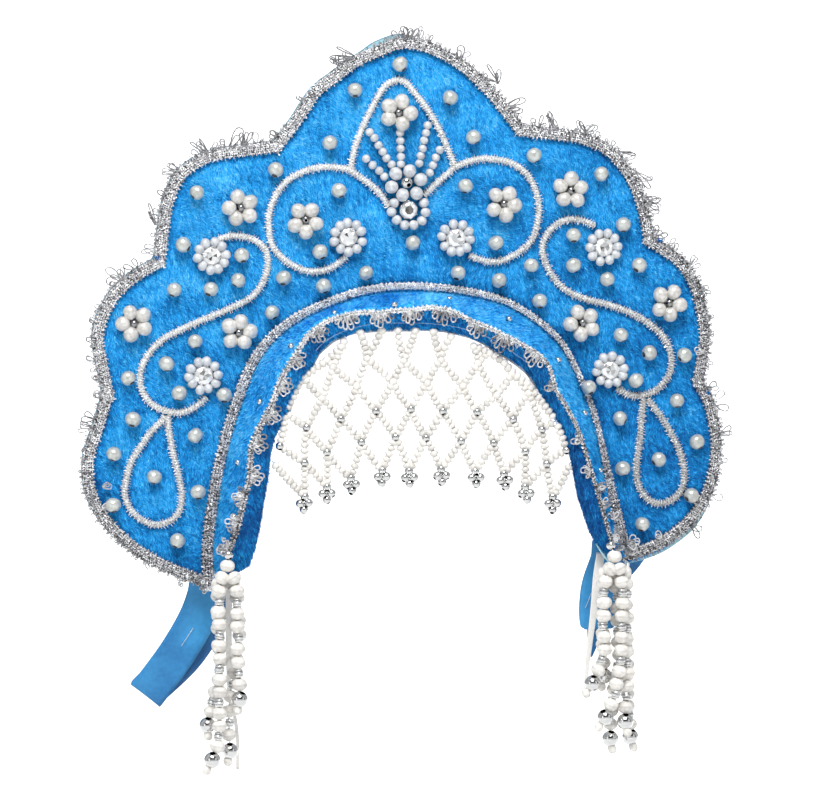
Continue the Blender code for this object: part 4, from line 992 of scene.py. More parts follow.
def hoopRings():
    # sections across the padded hoop: inward and forward, from behind the seam, over the lace line and back
    arch = archLine(2.4)
    right = toRight(ways(arch, 3))
    rings, tones = [], []
    for k, (point, inward, share) in enumerate(zip(arch, right, archShares(arch))):
        lace, front, inner = (float(hoopSize(share, column)) for column in (1, 2, 3))
        section = [(0.7, -4.6), (0.5, -1.0), (0.8, 1.7), (2.8, 2.6),
                   (2.8 + (lace - 4.5) * 0.33, 2.4 + (front - 2.4) * 0.42),
                   (2.8 + (lace - 4.5) * 0.68, 2.4 + (front - 2.4) * 0.78), (lace - 1.8, front - 0.5),
                   (lace + 0.4, front - 0.2), (inner - 2.9, front - 0.8), (inner - 0.9, front - 2.8),
                   (inner - 0.3, front - 5.2), (inner - 1.4, front * 0.42), (inner - 3.3, -1.6),
                   (inner - 4.2, -4.6), (inner * 0.5, -4.9)]
        curve = smoothPath(section + section[:1], 3)[:-1]
        ends = min(k, len(arch) - 1 - k)
        rise = 0.38 * max(0.0, 1 - ends / 3)
        pinch = 1 - 0.1 * max(0.0, 1 - ends / 2)
        rings.append([(*(point + inward * a * pinch + (0.0, rise * a)), 8 + (u - 8) * pinch)
                      for a, u in curve])
        # painted light and shade: the slope up to the lace is drawn lighter as it catches the light, and the
        # band inside the lace and the hoop's back darker as they lie in shade
        inside = np.clip((curve[:, 0] - lace + 0.4) / 1.6, 0, 1)
        slope = 0.17 - 0.22 * max(0.0, abs(share) - 0.25)
        tones.append(slope - (slope + 0.2) * inside - np.where(curve[:, 1] < 1, 0.2, 0.0))
    return np.array(rings), np.concatenate(tones)


def buildHoop():
    rng = np.random.default_rng(33)
    rings, lean = hoopRings()
    points = rings.reshape(-1, 3)
    shape = emptyShape()
    # lean is the painted light and shade from hoopRings; the cloth under the pile is painted 0.14 darker, as
    # the shade beneath it
    addLoft(shape, rings, pileTone(points) + lean - 0.14)
    hoop = makePiece("hoop_pad", shape, plush, ["hoop"])
    a, b, c = points[trianglesOf(shape["faces"])].transpose(1, 0, 2)
    outward = math.copysign(1, (a * np.cross(b, c)).sum())  # which way its faces wind, from its volume
    faces = gridFaces(*rings.shape[:2], closed=True)
    faces = faces[points[faces][:, :, 2].mean(axis=1) > -4.4]  # the flat back is lined, not piled
    roots, normals, tones = scatterOn(points, lean, [faces], hoopSizes["pile"], rng)
    normals = normals * outward
    nap = np.tile([0.35, -1.0, 0.0], (len(roots), 1))
    nap[:, 2] = 0.25 * softNoise(roots, 12, 4)
    pile = emptyShape()
    blades(pile, roots, normals, nap, tones + pileTone(roots), hoopSizes["blade"], rng)
    makePiece("hoop_pile", pile, plush, smooth=False)
    return rings


hoopSkin = buildHoop()
print("hoop built")


cordSizes = {"low": 2.3, "halfWidth": 1.18, "height": 1.5, "ply": 1.1, "stitch": 1.2}


def buildScrolls():
    rng = np.random.default_rng(5)
    for name, points in scrolls.items():
        path = evenly(smoothPath(points), 0.27)
        right = toRight(ways(path, 5))
        lengths = lengthsAlong(path)
        angles = np.linspace(0, math.pi, 8)
        rings = []
        tones = 0.22 + 0.1 * rng.normal(size=(len(path), len(angles))) + 0.24 * fallOff(path)[:, None]
        for k, (p, r) in enumerate(zip(path, right)):
            # slanting ridges where the wrapped thread passes over
            ridge = np.sin(lengths[k] / cordSizes["ply"] * 2 * math.pi + angles * 1.8)
            swell = 1 + 0.12 * ridge + 0.05 * rng.normal(size=len(angles))
            # the ridges are painted lighter on top and darker between, as light and shade
            tones[k] += 0.09 * ridge
            across = -np.cos(angles) * cordSizes["halfWidth"] * swell
            up = np.sin(angles) * cordSizes["height"] * swell
            rings.append([(*(p + r * a), cordSizes["low"] - 0.1 + u) for a, u in zip(across, up)])
        shape = emptyShape()
        addLoft(shape, rings, tones.ravel())
        # the couching stitches' bright ends stick out of both edges
        lines, shades = [], []
        for side in (-1, 1):
            for place in np.arange(0.3, lengths[-1] - 0.2, cordSizes["stitch"]):
                k = int(np.argmin(np.abs(lengths - place - rng.uniform(-0.3, 0.3))))
                out = right[k] * side
                start = path[k] + out * (cordSizes["halfWidth"] - 0.4)
                end = start + out * (0.75 + rng.uniform(0.0, 0.6)) - toRight(right[k]) * rng.normal(0.15, 0.3)
                up = rng.uniform(0.3, 0.9)
                lines.append([lifted(start, 3.2), lifted((start + end) / 2, 2.7 + up),
                              lifted(end, 2.7 + up * rng.uniform(0.2, 1.3))])
                shades.append(rng.uniform(0.15, 0.6))
        addThreads(shape, lines, [0.14, 0.13, 0.12], 3, shades)
        makePiece(name + "_gimp", shape, whiteGimp, [name], smooth=False)


buildScrolls()
print("scroll cords built")


singlePearls = [
    (-19.1, 96.3), (19.0, 92.3), (-29.7, 75.7), (28.0, 76.5), (-51.4, 65.7), (52.3, 68.6), (-82.9, 57.6),
    (79.5, 60.3), (-26.5, 56.7), (24.4, 57.1), (-89.0, 37.1), (88.0, 39.8), (-65.9, 32.2), (67.7, 36.2),
    (-67.5, 22.4), (67.4, 24.2), (-34.5, 32.7), (36.2, 34.1), (-49.4, 22.8), (50.2, 24.6), (-33.6, 19.0),
    (37.1, 19.0), (-16.4, 23.7), (20.6, 22.6), (-78.5, 19.2), (81.1, 18.1), (-93.0, 19.5), (94.2, 23.4),
    (-54.4, 9.3), (53.4, 10.3), (-85.3, -1.2), (86.2, -4.4), (-96.8, -9.8), (97.7, -12.0), (-92.2, -21.6),
    (92.0, -22.9), (-112.2, -14.9), (112.1, -13.4), (-110.8, -31.3), (108.6, -31.7), (-86.2, -38.7),
    (85.1, -38.0), (-118.7, -44.8), (116.6, -48.6), (-103.0, -54.5), (100.8, -55.2), (-85.7, -61.2),
    (85.8, -58.3), (-119.6, -65.1), (113.9, -70.3), (-94.5, -80.3), (93.5, -81.1), (-0.8, 106.1),
    (2.7, 35.1), (-74.3, -23.0)]
pearlOnBraid = (72.4, -24.9, 5.8)
flowers = [(-1.9, 86.9, 70), (-66.0, 50.9, 30), (66.7, 54.3, 85), (-40.2, 45.4, 56), (39.7, 49.7, 60),
           (-109.2, 6.8, 38), (106.0, 7.8, 62), (-67.8, 1.7, 5), (70.6, 0.8, 40)]
rosettes = [(-77.6, 32.3), (80.1, 31.1), (-23.2, 38.2), (20.2, 36.5), (-82.3, -14.9), (81.6, -18.4)]
palmette = {
    "heart": [(-3.6, 62.8), (1.9, 63.7), (6.3, 60.2), (4.5, 54.8), (-1.1, 54.3), (-5.4, 57.6)],
    "heartBead": (0.7, 59.2),
    "stone": (1.4, 48.2),
    "ring": [(-4.4, 51.2), (-5.6, 47.7), (-3.6, 44.4), (-0.4, 42.3), (3.2, 42.2), (6.5, 43.8), (8.1, 47.1),
             (7.5, 50.9)],
    # outer end, inner end, pearls
    "rays": [((-15.2, 68.9), (-8.0, 61.7), 4), ((-13.6, 79.8), (-5.2, 66.4), 6),
             ((-1.3, 78.9), (-1.4, 66.4), 5), ((9.8, 81.6), (5.8, 66.5), 6), ((14.2, 71.8), (10.1, 62.9), 4)],
}
seedPlaces = [(-73.3, -70.1), (-70.7, -49.1), (-61.5, -25.1), (-48.8, -3.3), (-31.3, 9.0), (-7.5, 11.7),
              (15.9, 12.6), (39.1, 4.1), (58.5, -12.8), (69.1, -34.5), (74.7, -57.8)]
pearlSizes = {"sewnOn": 2.3, "single": 6.15, "petal": 6.4, "petalRing": 4.55, "ring": 4.1, "ringRadius": 5.65,
              "heart": 5.5, "ray": 3.5, "stone": 4.15, "palmetteStone": 3.7}
sewnOn = pearlSizes["sewnOn"]  # where trimmings rest on the pile
# the small pearls of the rosettes and of the palmette's ring
ringPearl = lumpy(roundBead(pearlSizes["ring"], pearlSizes["ring"] - 0.25, 14, 8, hole=0.35), 0.015, 9)


def facetedStone(radius, rng, tones):
    # a round cut with a table, two rows of facets and a thin girdle; each facet keeps its own tone, a painted
    # reflection
    sides, triangles, shades = 8, [], []
    rows = []
    for share, height, shift in ((0.48, 2.7, 0.0), (0.8, 2.15, 0.5), (1.0, 1.2, 0.0), (0.96, 0.5, 0.5)):
        angles = [(k + shift) * 2 * math.pi / sides for k in range(sides)]
        rows.append([(radius * share * math.cos(a), radius * share * math.sin(a), height) for a in angles])
    for k in range(sides):
        j = (k + 1) % sides
        triangles += [(rows[0][k], rows[1][k], rows[0][j]), (rows[0][j], rows[1][k], rows[1][j]),
                      (rows[1][k], rows[2][k], rows[2][j]), (rows[1][k], rows[2][j], rows[1][j]),
                      (rows[2][k], rows[3][k], rows[2][j]), (rows[2][j], rows[3][k], rows[3][j]),
                      (rows[0][k], rows[0][j], (0.0, 0.0, 2.72))]
        shades += [*rng.uniform(0.3, 1.0, 6), rng.uniform(*tones)]
    faces = np.arange(len(triangles) * 3).reshape(-1, 3)
    return np.array(triangles).reshape(-1, 3), faces, np.repeat(shades, 3)


def addStone(stones, settings, x, z, rng, radius, tones):
    # a stone in a cup with four claws; tones are the painted reflections of its table
    points, faces, shades = facetedStone(radius, rng, tones)
    spin = rng.uniform(0, 0.8)
    c, s = math.cos(spin), math.sin(spin)
    turned = np.column_stack([points[:, 0] * c - points[:, 1] * s, points[:, 0] * s + points[:, 1] * c,
                              points[:, 2] + 0.6])
    addTo(stones, turned + (x, z, sewnOn), [faces], shades)
    cup = lathe([(0, 0), (radius - 0.3, 0), (radius, 0.7), (radius, 1.0), (radius - 0.3, 1.0),
                 (radius - 0.4, 0.8), (0, 0.8)], 20)
    addBead(settings, cup, (x, z, sewnOn), (0, 0, 1))
    for k in range(4):
        a = spin + math.pi / 4 + k * math.pi / 2
        out = np.array([math.cos(a), math.sin(a)])
        claw = [lifted((x, z) + out * (radius + past), sewnOn + up)
                for past, up in ((0.1, 0.8), (0, 2.1), (-0.7, 2.7))]
        addThreads(settings, claw, [0.35, 0.32, 0.25], 6)


def sewSingles(rng):
    kinds = [lumpy(roundBead(pearlSizes["single"], 5.8, 16, 10, hole=1.1), 0.03, k) for k in range(4)]
    pearls = emptyShape()
    for x, z in singlePearls:
        # sewn through the hole, which shows as a dark crescent near the lower edge
        down = math.radians(-92 + rng.normal(0, 34))
        tip = rng.uniform(0.2, 0.5)
        axis = (math.cos(down) * math.cos(tip), math.sin(down) * math.cos(tip), math.sin(tip))
        addBead(pearls, kinds[rng.integers(4)], (x, z, sewnOn + 2.1), axis, rng.uniform(0.98, 1.04),
                rng.uniform(0, 6), rng.uniform(-0.05, 0.03))
    addBead(pearls, kinds[0], pearlOnBraid, (0.2, -0.8, 0.4))
    makePiece("crest_pearls", pearls, silverPearl)


def sewFlowers(rng):
    plain = [lumpy(roundBead(pearlSizes["petal"], 6.0, 16, 10, hole=0.6), 0.035, k) for k in range(5)]
    bead = roundBead(3.3, 3.0, 14, 8, hole=0.55)
    for number, (x, z, turn) in enumerate(flowers, 1):
        petals, centre = emptyShape(), emptyShape()
        for k in range(5):
            a = math.radians(turn + 72 * k) + rng.normal(0, 0.05)
            ring = pearlSizes["petalRing"] + rng.normal(0, 0.18)
            place = (x + ring * math.cos(a), z + ring * math.sin(a), sewnOn + 2.5 + rng.normal(0, 0.2))
            axis = (-math.sin(a), math.cos(a), rng.normal(0, 0.12))
            addBead(petals, plain[rng.integers(5)], place, axis, rng.uniform(0.96, 1.03), rng.uniform(0, 6),
                    rng.uniform(-0.06, 0.02))
        addBead(petals, bead, (x, z, sewnOn + 0.6), (1, 0, 0))
        addBead(centre, bead, (x + rng.normal(0, 0.2), z + rng.normal(0, 0.2), sewnOn + 3.0),
                (rng.normal(), rng.normal(), 0.8))
        makePiece(f"flower_{number}_pearls", petals, petalPearl, [f"flower_{number}"])
        makePiece(f"flower_{number}_bead", centre, darkBead)


def sewRosettes(rng):
    for number, (x, z) in enumerate(rosettes, 1):
        ring, stones, settings = emptyShape(), emptyShape(), emptyShape()
        start = rng.uniform(0, 0.6)
        for k in range(10):
            a = start + 2 * math.pi * k / 10 + rng.normal(0, 0.04)
            out = pearlSizes["ringRadius"] + rng.normal(0, 0.15)
            place = (x + out * math.cos(a), z + out * math.sin(a), sewnOn + 1.85 + rng.normal(0, 0.15))
            addBead(ring, ringPearl, place, (-math.sin(a), math.cos(a), 0), rng.uniform(0.96, 1.04),
                    rng.uniform(0, 6))
        addStone(stones, settings, x, z, rng, pearlSizes["stone"], (0.0, 0.75))
        makePiece(f"rosette_{number}_pearls", ring, whitePearl, [f"rosette_{number}"])
        makePiece(f"rosette_{number}_stone", stones, stone, smooth=False)
        makePiece(f"rosette_{number}_claws", settings, chrome)


def sewPalmette(rng):
    heart, rays, stones, settings = emptyShape(), emptyShape(), emptyShape(), emptyShape()
    big = lumpy(roundBead(pearlSizes["heart"], pearlSizes["heart"] - 0.2, 18, 11, hole=0.4), 0.012, 4)
    tiny = lumpy(roundBead(pearlSizes["ray"], pearlSizes["ray"] - 0.2, 14, 8, hole=0.3), 0.015, 2)
    for places, middle, bead, up in ((palmette["heart"], palmette["heartBead"], big, 2.6),
                                     (palmette["ring"], palmette["stone"], ringPearl, 1.85)):
        for place in places:
            out = np.array(place) - middle
            addBead(heart, bead, (*place, sewnOn + up), (-out[1], out[0], 0), 1.0, rng.uniform(0, 6))
    addBead(settings, roundBead(4.9, 4.5, 18, 11, hole=0.9), (*palmette["heartBead"], sewnOn + 2.7),
            (0.3, -0.5, 0.9))
    addStone(stones, settings, *palmette["stone"], rng, pearlSizes["palmetteStone"], (0.0, 0.15))
    for outer, inner, count in palmette["rays"]:
        outer, inner = np.array(outer), np.array(inner)
        for t in np.linspace(0, 1, count):
            place = outer * (1 - t) + inner * t + rng.normal(0, 0.12, 2)
            addBead(rays, tiny, (*place, sewnOn + 1.7), (*(inner - outer), 0), 1.0, rng.uniform(0, 6))
    makePiece("palmette_pearls", heart, whitePearl, ["palmette"])
    makePiece("palmette_stone", stones, stone, smooth=False)
    makePiece("palmette_silver", settings, chrome)
    makePiece("palmette_rays", rays, whitePearl, [f"palmette_ray_{k}" for k in range(1, 6)])


def sewSeeds(rng):
    # the small beads that quilt the plush on the hoop
    seeds = emptyShape()
    skin = hoopSkin.reshape(-1, 3)
    skin = skin[skin[:, 2] > 2.0]
    seed = roundBead(2.7, 2.3, 12, 7, hole=0.5)
    for x, z in seedPlaces:
        near = skin[np.argsort(np.linalg.norm(skin[:, :2] - (x, z), axis=1))[:4]]
        addBead(seeds, seed, (x, z, near[:, 2].mean() + 1.9), (rng.normal(), -0.6, 0.5))
    makePiece("hoop_seed_beads", seeds, chrome)


def sewPearls():
    draws = np.random.default_rng(12)
    for sew in (sewSingles, sewFlowers, sewRosettes, sewPalmette, sewSeeds):
        sew(draws)


sewPearls()
print("pearls sewn")


# the net's knots, row by row from the top, as (x, z)
net = {
    "forward": 17.0, "pitch": 2.3, "bead": (3.6, 2.5), "knot": (3.6, 3.3), "metal": 3.5,
    "top": [(-44.1, -15.6), (-34.5, -9.4), (-27.6, -2.4), (-21.1, 1.0), (-12.6, 1.3), (-6.0, 1.4), (0.9, 0.9),
            (8.2, 0.2), (15.1, -2.0), (24.2, -6.0), (30.4, -9.0), (36.5, -13.0), (45.2, -21.4)],
    "first": [(-32.2, -12.3), (-18.6, -9.2), (-3.8, -10.9), (11.0, -11.0), (25.8, -12.7), (39.4, -17.5)],
    "second": [(-37.0, -24.5), (-23.0, -20.2), (-8.3, -19.0), (5.2, -19.9), (19.5, -21.7), (32.9, -25.6),
               (45.7, -25.3)],
    "third": [(-43.3, -35.8), (-29.6, -32.9), (-15.6, -30.2), (-1.5, -30.0), (11.2, -31.2), (24.9, -32.1),
              (39.5, -35.6), (51.0, -40.1)],
    "fourth": [(-44.5, -49.8), (-35.5, -45.9), (-21.6, -42.5), (-7.9, -41.0), (4.2, -41.7), (18.4, -43.5),
               (31.4, -44.8), (44.0, -48.6), (52.5, -53.9)],
    "tips": [(-44.6, -63.4), (-35.8, -59.8), (-26.1, -56.6), (-13.6, -53.9), (-2.8, -54.7), (10.0, -54.4),
             (23.7, -55.7), (35.3, -57.3), (43.7, -62.8), (54.9, -67.3)],
    "left": [(-51.7, -29.4), (-54.2, -42.8), (-57.4, -48.6)],
    "right": [(56.8, -36.9), (60.6, -48.7), (62.1, -53.5)],
    # a silver flower at each tip: steps across, up and forward from the tip to its beads
    "flower": [(0, 0, 0), (-1.75, -2.6, 0.8), (1.75, -2.5, 0.8), (0.1, -5.1, 0)],
}


def netLinks():
    # which knots a string of beads joins
    top, first, second, left, right = (net[key] for key in ("top", "first", "second", "left", "right"))
    links = []
    for k, place in enumerate(first):
        links += [(top[2 * k + 1], place), (top[2 * k + 2], place)]
    upper = [top[0]] + first
    for k, place in enumerate(second):
        links += [(upper[k], place)] + ([(first[k], place)] if k < len(first) else [])
    rows = [second, net["third"], net["fourth"], net["tips"]]
    for above, row, start, end in zip(rows, rows[1:], left, right):
        above = [start] + above + [end]
        for k, place in enumerate(row):
            links += [(above[k], place), (above[k + 1], place)]
    # the string along the hoop's inner edge, which the net hangs from
    sides = [left[1], left[0]] + top[:3] + [None] + top[9:] + right[:2]
    return links + [(start, end) for start, end in zip(sides, sides[1:]) if start and end]


def buildNet():
    rng = np.random.default_rng(9)
    links = netLinks()
    pearls, silver, threads = emptyShape(), emptyShape(), emptyShape()
    bead = lumpy(roundBead(*net["bead"], 10, 5), 0.02, 3)
    knot = lumpy(roundBead(*net["knot"], 12, 7, hole=0.55), 0.02, 3)
    metal = roundBead(net["metal"], net["metal"], 16, 10, hole=0.8)

    def depthAt(x, z):
        return net["forward"] + 0.35 * math.sin(x * 0.31) + 0.4 * math.sin(z * 0.23 + 1)

    for start, end in links:
        start, end = np.array(start), np.array(end)
        gap = np.linalg.norm(end - start)
        count = max(1, int(round(gap / net["pitch"])) - 1)
        way = (end - start) / gap
        bow = toRight(way) * rng.normal(0, 0.3)
        inner = [start + (end - start) * t + bow * math.sin(math.pi * t)
                 for t in (np.arange(count) + 1) / (count + 1)]
        for place in inner:
            addBead(pearls, bead, (*place, depthAt(*place)), (*way, rng.normal(0, 0.2)),
                    rng.uniform(0.93, 1.05), rng.uniform(0, 6), rng.uniform(-0.1, 0.02))
        addThreads(threads, [(*p, depthAt(*p)) for p in [start] + inner + [end]], 0.25, 4)
    for place in net["top"] + net["first"] + net["second"]:
        addBead(pearls, knot, (*place, depthAt(*place)), (0.2, 1, 0), 1.0, rng.uniform(0, 6))
    for place in net["third"] + net["fourth"] + [net["left"][1], net["right"][1]]:
        addBead(silver, metal, (*place, depthAt(*place) + 0.5), (rng.normal(0, 0.12), -1, 0.62), 1.0,
                rng.uniform(0, 6))
    for x, z in net["tips"]:
        lean = rng.normal(0, 0.3)
        for across, up, ahead in net["flower"]:
            place = (x + across - lean * up / 4, z + up)
            addBead(silver, metal, (*place, depthAt(*place) + ahead),
                    (rng.normal(0, 0.5), -1, rng.uniform(0.2, 0.8)), 1.02, rng.uniform(0, 6))
    makePiece("net_pearls", pearls, netPearl, ["bead_net"])
    makePiece("net_silver", silver, chrome)
    makePiece("net_threads", threads, nylon)


def hangNet():
    # the clear line that carries the net runs over the hoop's inner edge
    line = archLine(0.8)
    share = archShares(line)
    inward = toRight(ways(line, 5))
    reach = np.convolve(np.pad(hoopSize(share, 3), 15, "edge"), np.ones(31) / 31, "valid") - 2.6
    rope = np.column_stack([line + inward * reach[:, None], hoopSize(share, 2) - 0.2])
    shape = emptyShape()
    addThreads(shape, rope[(share > -0.3) & (share < 0.4)], 0.11, 4)
    makePiece("net_carrier_line", shape, nylon)

    # the white tape that the net is sewn to shows below the hoop's inner edge
    keep = (share > -0.58) & (share < 0.5)
    line, inward, size = line[keep], inward[keep], hoopSize(share, 3)[keep]
    rings = []
    for p, r, inner, wave in zip(line, inward, size, 0.25 * softNoise(line, 9, 2)):
        outer = inner + 0.9 + wave
        section = [(inner - 2.0, 14.4), (outer, 15.0), (outer, 14.5), (inner - 2.0, 13.9)]
        rings.append([(*(p + r * a), u) for a, u in section])
    shape = emptyShape()
    addLoft(shape, rings)
    makePiece("net_heading_tape", shape, tapeWeave)


buildNet()
hangNet()
print("net strung")


# each strand's beads and the way it hangs: p is a pearl, s a ringed silver bead and B the ball at its end
strands = {
    "strand_left_1": ("pps" * 5 + "pB", [
        (-77.2, -92.9, 18.4), (-79.4, -95.4, 19.0), (-80.2, -105.0, 19.0), (-80.6, -140.0, 19.0),
        (-82.0, -158.5, 19.0), (-84.4, -166.4, 19.0)]),
    "strand_left_2": ("pps" * 4 + "pB", [
        (-77.2, -92.8, 15.8), (-79.4, -98.5, 12.6), (-79.7, -106.0, 12.4), (-79.7, -132.0, 12.4),
        (-83.4, -145.0, 12.6), (-85.3, -153.4, 12.8)]),
    "strand_left_3": ("pps" * 3 + "pB", [
        (-75.2, -92.9, 18.4), (-73.4, -95.6, 19.0), (-72.8, -105.0, 19.0), (-73.2, -128.0, 19.0),
        (-72.9, -142.7, 19.0)]),
    "strand_left_4": ("pps" * 4 + "pB", [
        (-75.3, -92.8, 15.8), (-73.0, -98.5, 12.6), (-72.2, -106.0, 12.4), (-72.2, -124.0, 12.4),
        (-75.6, -140.0, 12.4), (-76.6, -150.0, 12.4), (-76.6, -164.1, 12.8)]),
    "strand_right_1": ("pps" * 3 + "pB", [
        (78.4, -95.5, 18.4), (76.0, -98.2, 19.0), (74.4, -107.0, 19.0), (73.6, -131.0, 19.0),
        (69.1, -142.6, 19.0)]),
    "strand_right_2": ("pps" * 3 + "pB", [
        (78.1, -95.4, 15.8), (76.0, -100.4, 12.6), (75.3, -108.0, 12.0), (75.0, -128.0, 12.0),
        (75.0, -140.8, 12.0)]),
    "strand_right_3": ("pps" * 4 + "pB", [
        (80.6, -95.5, 18.4), (81.6, -98.4, 19.0), (81.9, -107.0, 19.0), (80.6, -134.0, 19.0),
        (77.4, -149.4, 19.0), (74.1, -156.6, 19.0)]),
    "strand_right_4": ("pps" * 4 + "pB", [
        (81.8, -94.6, 16.0), (84.4, -100.0, 14.4), (84.6, -107.0, 14.2), (84.6, -134.0, 14.2),
        (83.4, -150.0, 15.6), (82.6, -159.0, 16.8)]),
    "strand_right_5": ("pps" * 5 + "pB", [
        (81.2, -95.0, 13.8), (84.8, -102.4, 7.6), (85.2, -109.0, 7.2), (85.4, -146.0, 7.2),
        (86.3, -166.8, 7.6)]),
    "strand_right_6": ("pps" * 4 + "ppB", [
        (79.9, -95.5, 15.4), (80.6, -101.2, 11.6), (81.2, -109.0, 10.8), (81.4, -134.0, 10.6),
        (78.4, -150.0, 11.6), (77.2, -166.4, 12.2)]),
}
tasselSizes = {"room": {"p": 5.1, "s": 3.3, "B": 6.3},  # how much of the thread each bead takes
               "heads": {"left": ((-75.5, -85.2, 17.2), (-76.2, -89.6, 17.2)),
                         "right": ((78.4, -87.8, 15.2), (79.4, -92.2, 17.2))}}


def buildTassels():
    rng = np.random.default_rng(17)
    room = tasselSizes["room"]
    pearl = [lumpy(roundBead(6.05, 5.1, 16, 11, hole=0.6, seam=0.1), 0.02, k) for k in range(3)]
    turning = lumpy(roundBead(4.4, 3.6, 14, 8, hole=0.45), 0.02, 7)
    # a silver bead pressed with three rings; its grooves and the ends by its hole are painted darker, as
    # shade
    ringed = lathe([(0, 1.7), (0.6, 1.7), (1.5, 1.5), (1.85, 1.1), (1.55, 0.65), (2.0, 0.22), (2.0, -0.22),
                    (1.55, -0.65), (1.85, -1.1), (1.5, -1.5), (0.6, -1.7), (0, -1.7)], 16,
                   [0.3, 0.35, 0.6, 0.6, 0.25, 0.6, 0.6, 0.25, 0.6, 0.6, 0.35, 0.3])
    ball = roundBead(6.7, 6.7, 24, 15, hole=1.2)
    for name, (beads, points) in strands.items():
        path = evenly(smoothPath(points), 0.25)
        lengths = lengthsAlong(path)
        way = ways(path)
        first = lengthsAlong(np.array(points))[1] - 1.3  # the strand leaves the tassel's head here
        centres, run, last = [], 0.0, None
        for kind in beads:
            run += 0 if last is None else (room[last] + room[kind]) / 2
            centres.append(run)
            last = kind
        stretch = (lengths[-1] - first) / centres[-1]
        pearls, silver, rings = emptyShape(), emptyShape(), emptyShape()
        for kind, centre in zip(beads, centres):
            k = int(np.argmin(np.abs(lengths - first - centre * stretch)))
            place = path[k] + np.array([rng.normal(0, 0.22), 0, rng.normal(0, 0.15)])
            axis = way[k] + rng.normal(0, 0.09, 3)
            if kind == "p":
                addBead(pearls, pearl[rng.integers(3)], place, axis, rng.uniform(0.96, 1.04),
                        rng.uniform(0, 6), rng.uniform(-0.06, 0.02))
            elif kind == "s":
                addBead(rings, ringed, place, axis, 1.0, rng.uniform(0, 6))
            else:
                # the small pearl that turns the thread back sits beside the ball
                addBead(silver, ball, path[k], (rng.normal(0, 0.25), 1, 0.42))
                beside = path[k] + way[k] * 4.2 + np.array([rng.choice((-1, 1)) * 1.0, 0.0, 0.0])
                addBead(pearls, turning, beside, (1, 0.3, 0.2))
        addThreads(silver, path[::8], 0.3, 4)
        makePiece(name + "_pearls", pearls, netPearl, [name])
        makePiece(name + "_silver", silver, chrome)
        makePiece(name + "_rings", rings, ringedBead)
    for side, (bead, head) in tasselSizes["heads"].items():
        shape, silver = emptyShape(), emptyShape()
        addBead(shape, pearl[0], head, (0.1, 1, 0.1))
        addBead(silver, roundBead(3.8, 3.8, 20, 12, hole=0.7), bead, (0.3, -0.7, 0.5))
        addThreads(silver, [np.array(bead), np.array(head)], 0.3, 4)
        makePiece(f"tassel_head_{side}_pearl", shape, netPearl, [f"tassel_head_{side}"])
        makePiece(f"tassel_head_{side}_bead", silver, chrome)


buildTassels()
print("tassels strung")


# x, z, forward and width along each strip
strips = {
    "ribbon_left": [
        (-81.5, -94.0, -6.2, 14.0), (-83.0, -104.0, -6.2, 14.6), (-87.2, -114.5, -6.2, 15.0),
        (-95.5, -127.5, -6.2, 15.0), (-106.6, -141.6, -6.4, 15.0), (-107.6, -142.8, -7.6, 15.0),
        (-106.2, -141.2, -8.9, 15.0), (-91.6, -128.2, -9.2, 15.0), (-82.8, -115.0, -9.2, 15.0),
        (-81.2, -104.0, -9.2, 14.6)],
    "ribbon_right": [
        (76.6, -124.4, -6.2, 11.0), (76.6, -122.6, -6.2, 14.4), (76.4, -116.0, -6.2, 15.0),
        (77.6, -106.5, -6.2, 15.0), (81.4, -96.0, -6.2, 15.0), (82.6, -89.6, -6.4, 15.0),
        (82.7, -88.6, -7.6, 15.0), (82.7, -89.8, -8.9, 15.0), (82.2, -98.0, -9.2, 15.0),
        (81.6, -104.4, -9.2, 14.6), (78.2, -118.2, -9.2, 11.2), (75.6, -127.0, -9.2, 6.2),
        (73.6, -136.0, -9.2, 1.6)],
    "tape_left": [
        (-74.4, -95.4, 4.0, 2.6), (-74.6, -108.0, 4.0, 2.6), (-75.1, -124.0, 4.0, 2.4),
        (-75.2, -142.0, 4.2, 1.8), (-73.4, -152.0, 4.6, 1.4), (-72.6, -162.0, 4.8, 1.4),
        (-72.9, -173.0, 4.8, 1.4)],
    "tape_right": [
        (76.4, -92.0, 4.0, 3.4), (74.7, -102.0, 4.0, 3.4), (73.1, -115.0, 4.0, 2.8),
        (71.2, -128.0, 4.0, 2.2), (69.5, -141.0, 4.0, 1.6), (68.8, -150.0, 4.0, 1.4)],
}
stripSizes = {"ribbonThickness": 0.5, "tapeThickness": 0.7, "across": 9, "foldDepth": -7.6}
bastingStitches = [[(-88.1, -116.6, -5.4), (-90.6, -120.2, -5.1), (-93.1, -123.7, -5.4)],
                   [(73.9, -109.5, -5.4), (72.6, -112.5, -5.1), (71.3, -115.5, -5.4)]]
hemLine = [(73.6, -87.6, 9.0), (75.6, -91.2, 9.6), (79.0, -95.9, 9.8)]


def stripRings(rows, thick, curled):
    table = smoothPath(rows, 10)
    path, widths = table[:, :3], table[:, 3]
    way = ways(path)
    level = np.linalg.norm(way[:, :2], axis=1)
    across = toRight(way[:, :2]) / np.maximum(level, 1e-6)[:, None]
    good = np.flatnonzero(level > 0.8)
    for k, j in zip(good, good[1:]):
        if across[k] @ across[j] < 0:
            across[j] = -across[j]
    # through a fold the cloth keeps the direction it has on both sides of it
    across = np.column_stack([np.interp(np.arange(len(path)), good, across[good, axis]) for axis in (0, 1)])
    across = np.column_stack([across / np.linalg.norm(across, axis=1, keepdims=True), np.zeros(len(path))])
    out = np.cross(way, across)
    share = np.linspace(-1, 1, stripSizes["across"])
    rings = []
    for k in range(len(path)):
        bow = 0.3 * share ** 2 * math.sin(k * 0.13) * curled
        sheet = path[k] + across[k] * (share * widths[k] / 2)[:, None] + out[k] * bow[:, None]
        rings.append(np.vstack([sheet + out[k] * thick / 2, (sheet - out[k] * thick / 2)[::-1]]))
    return np.array(rings), path, widths


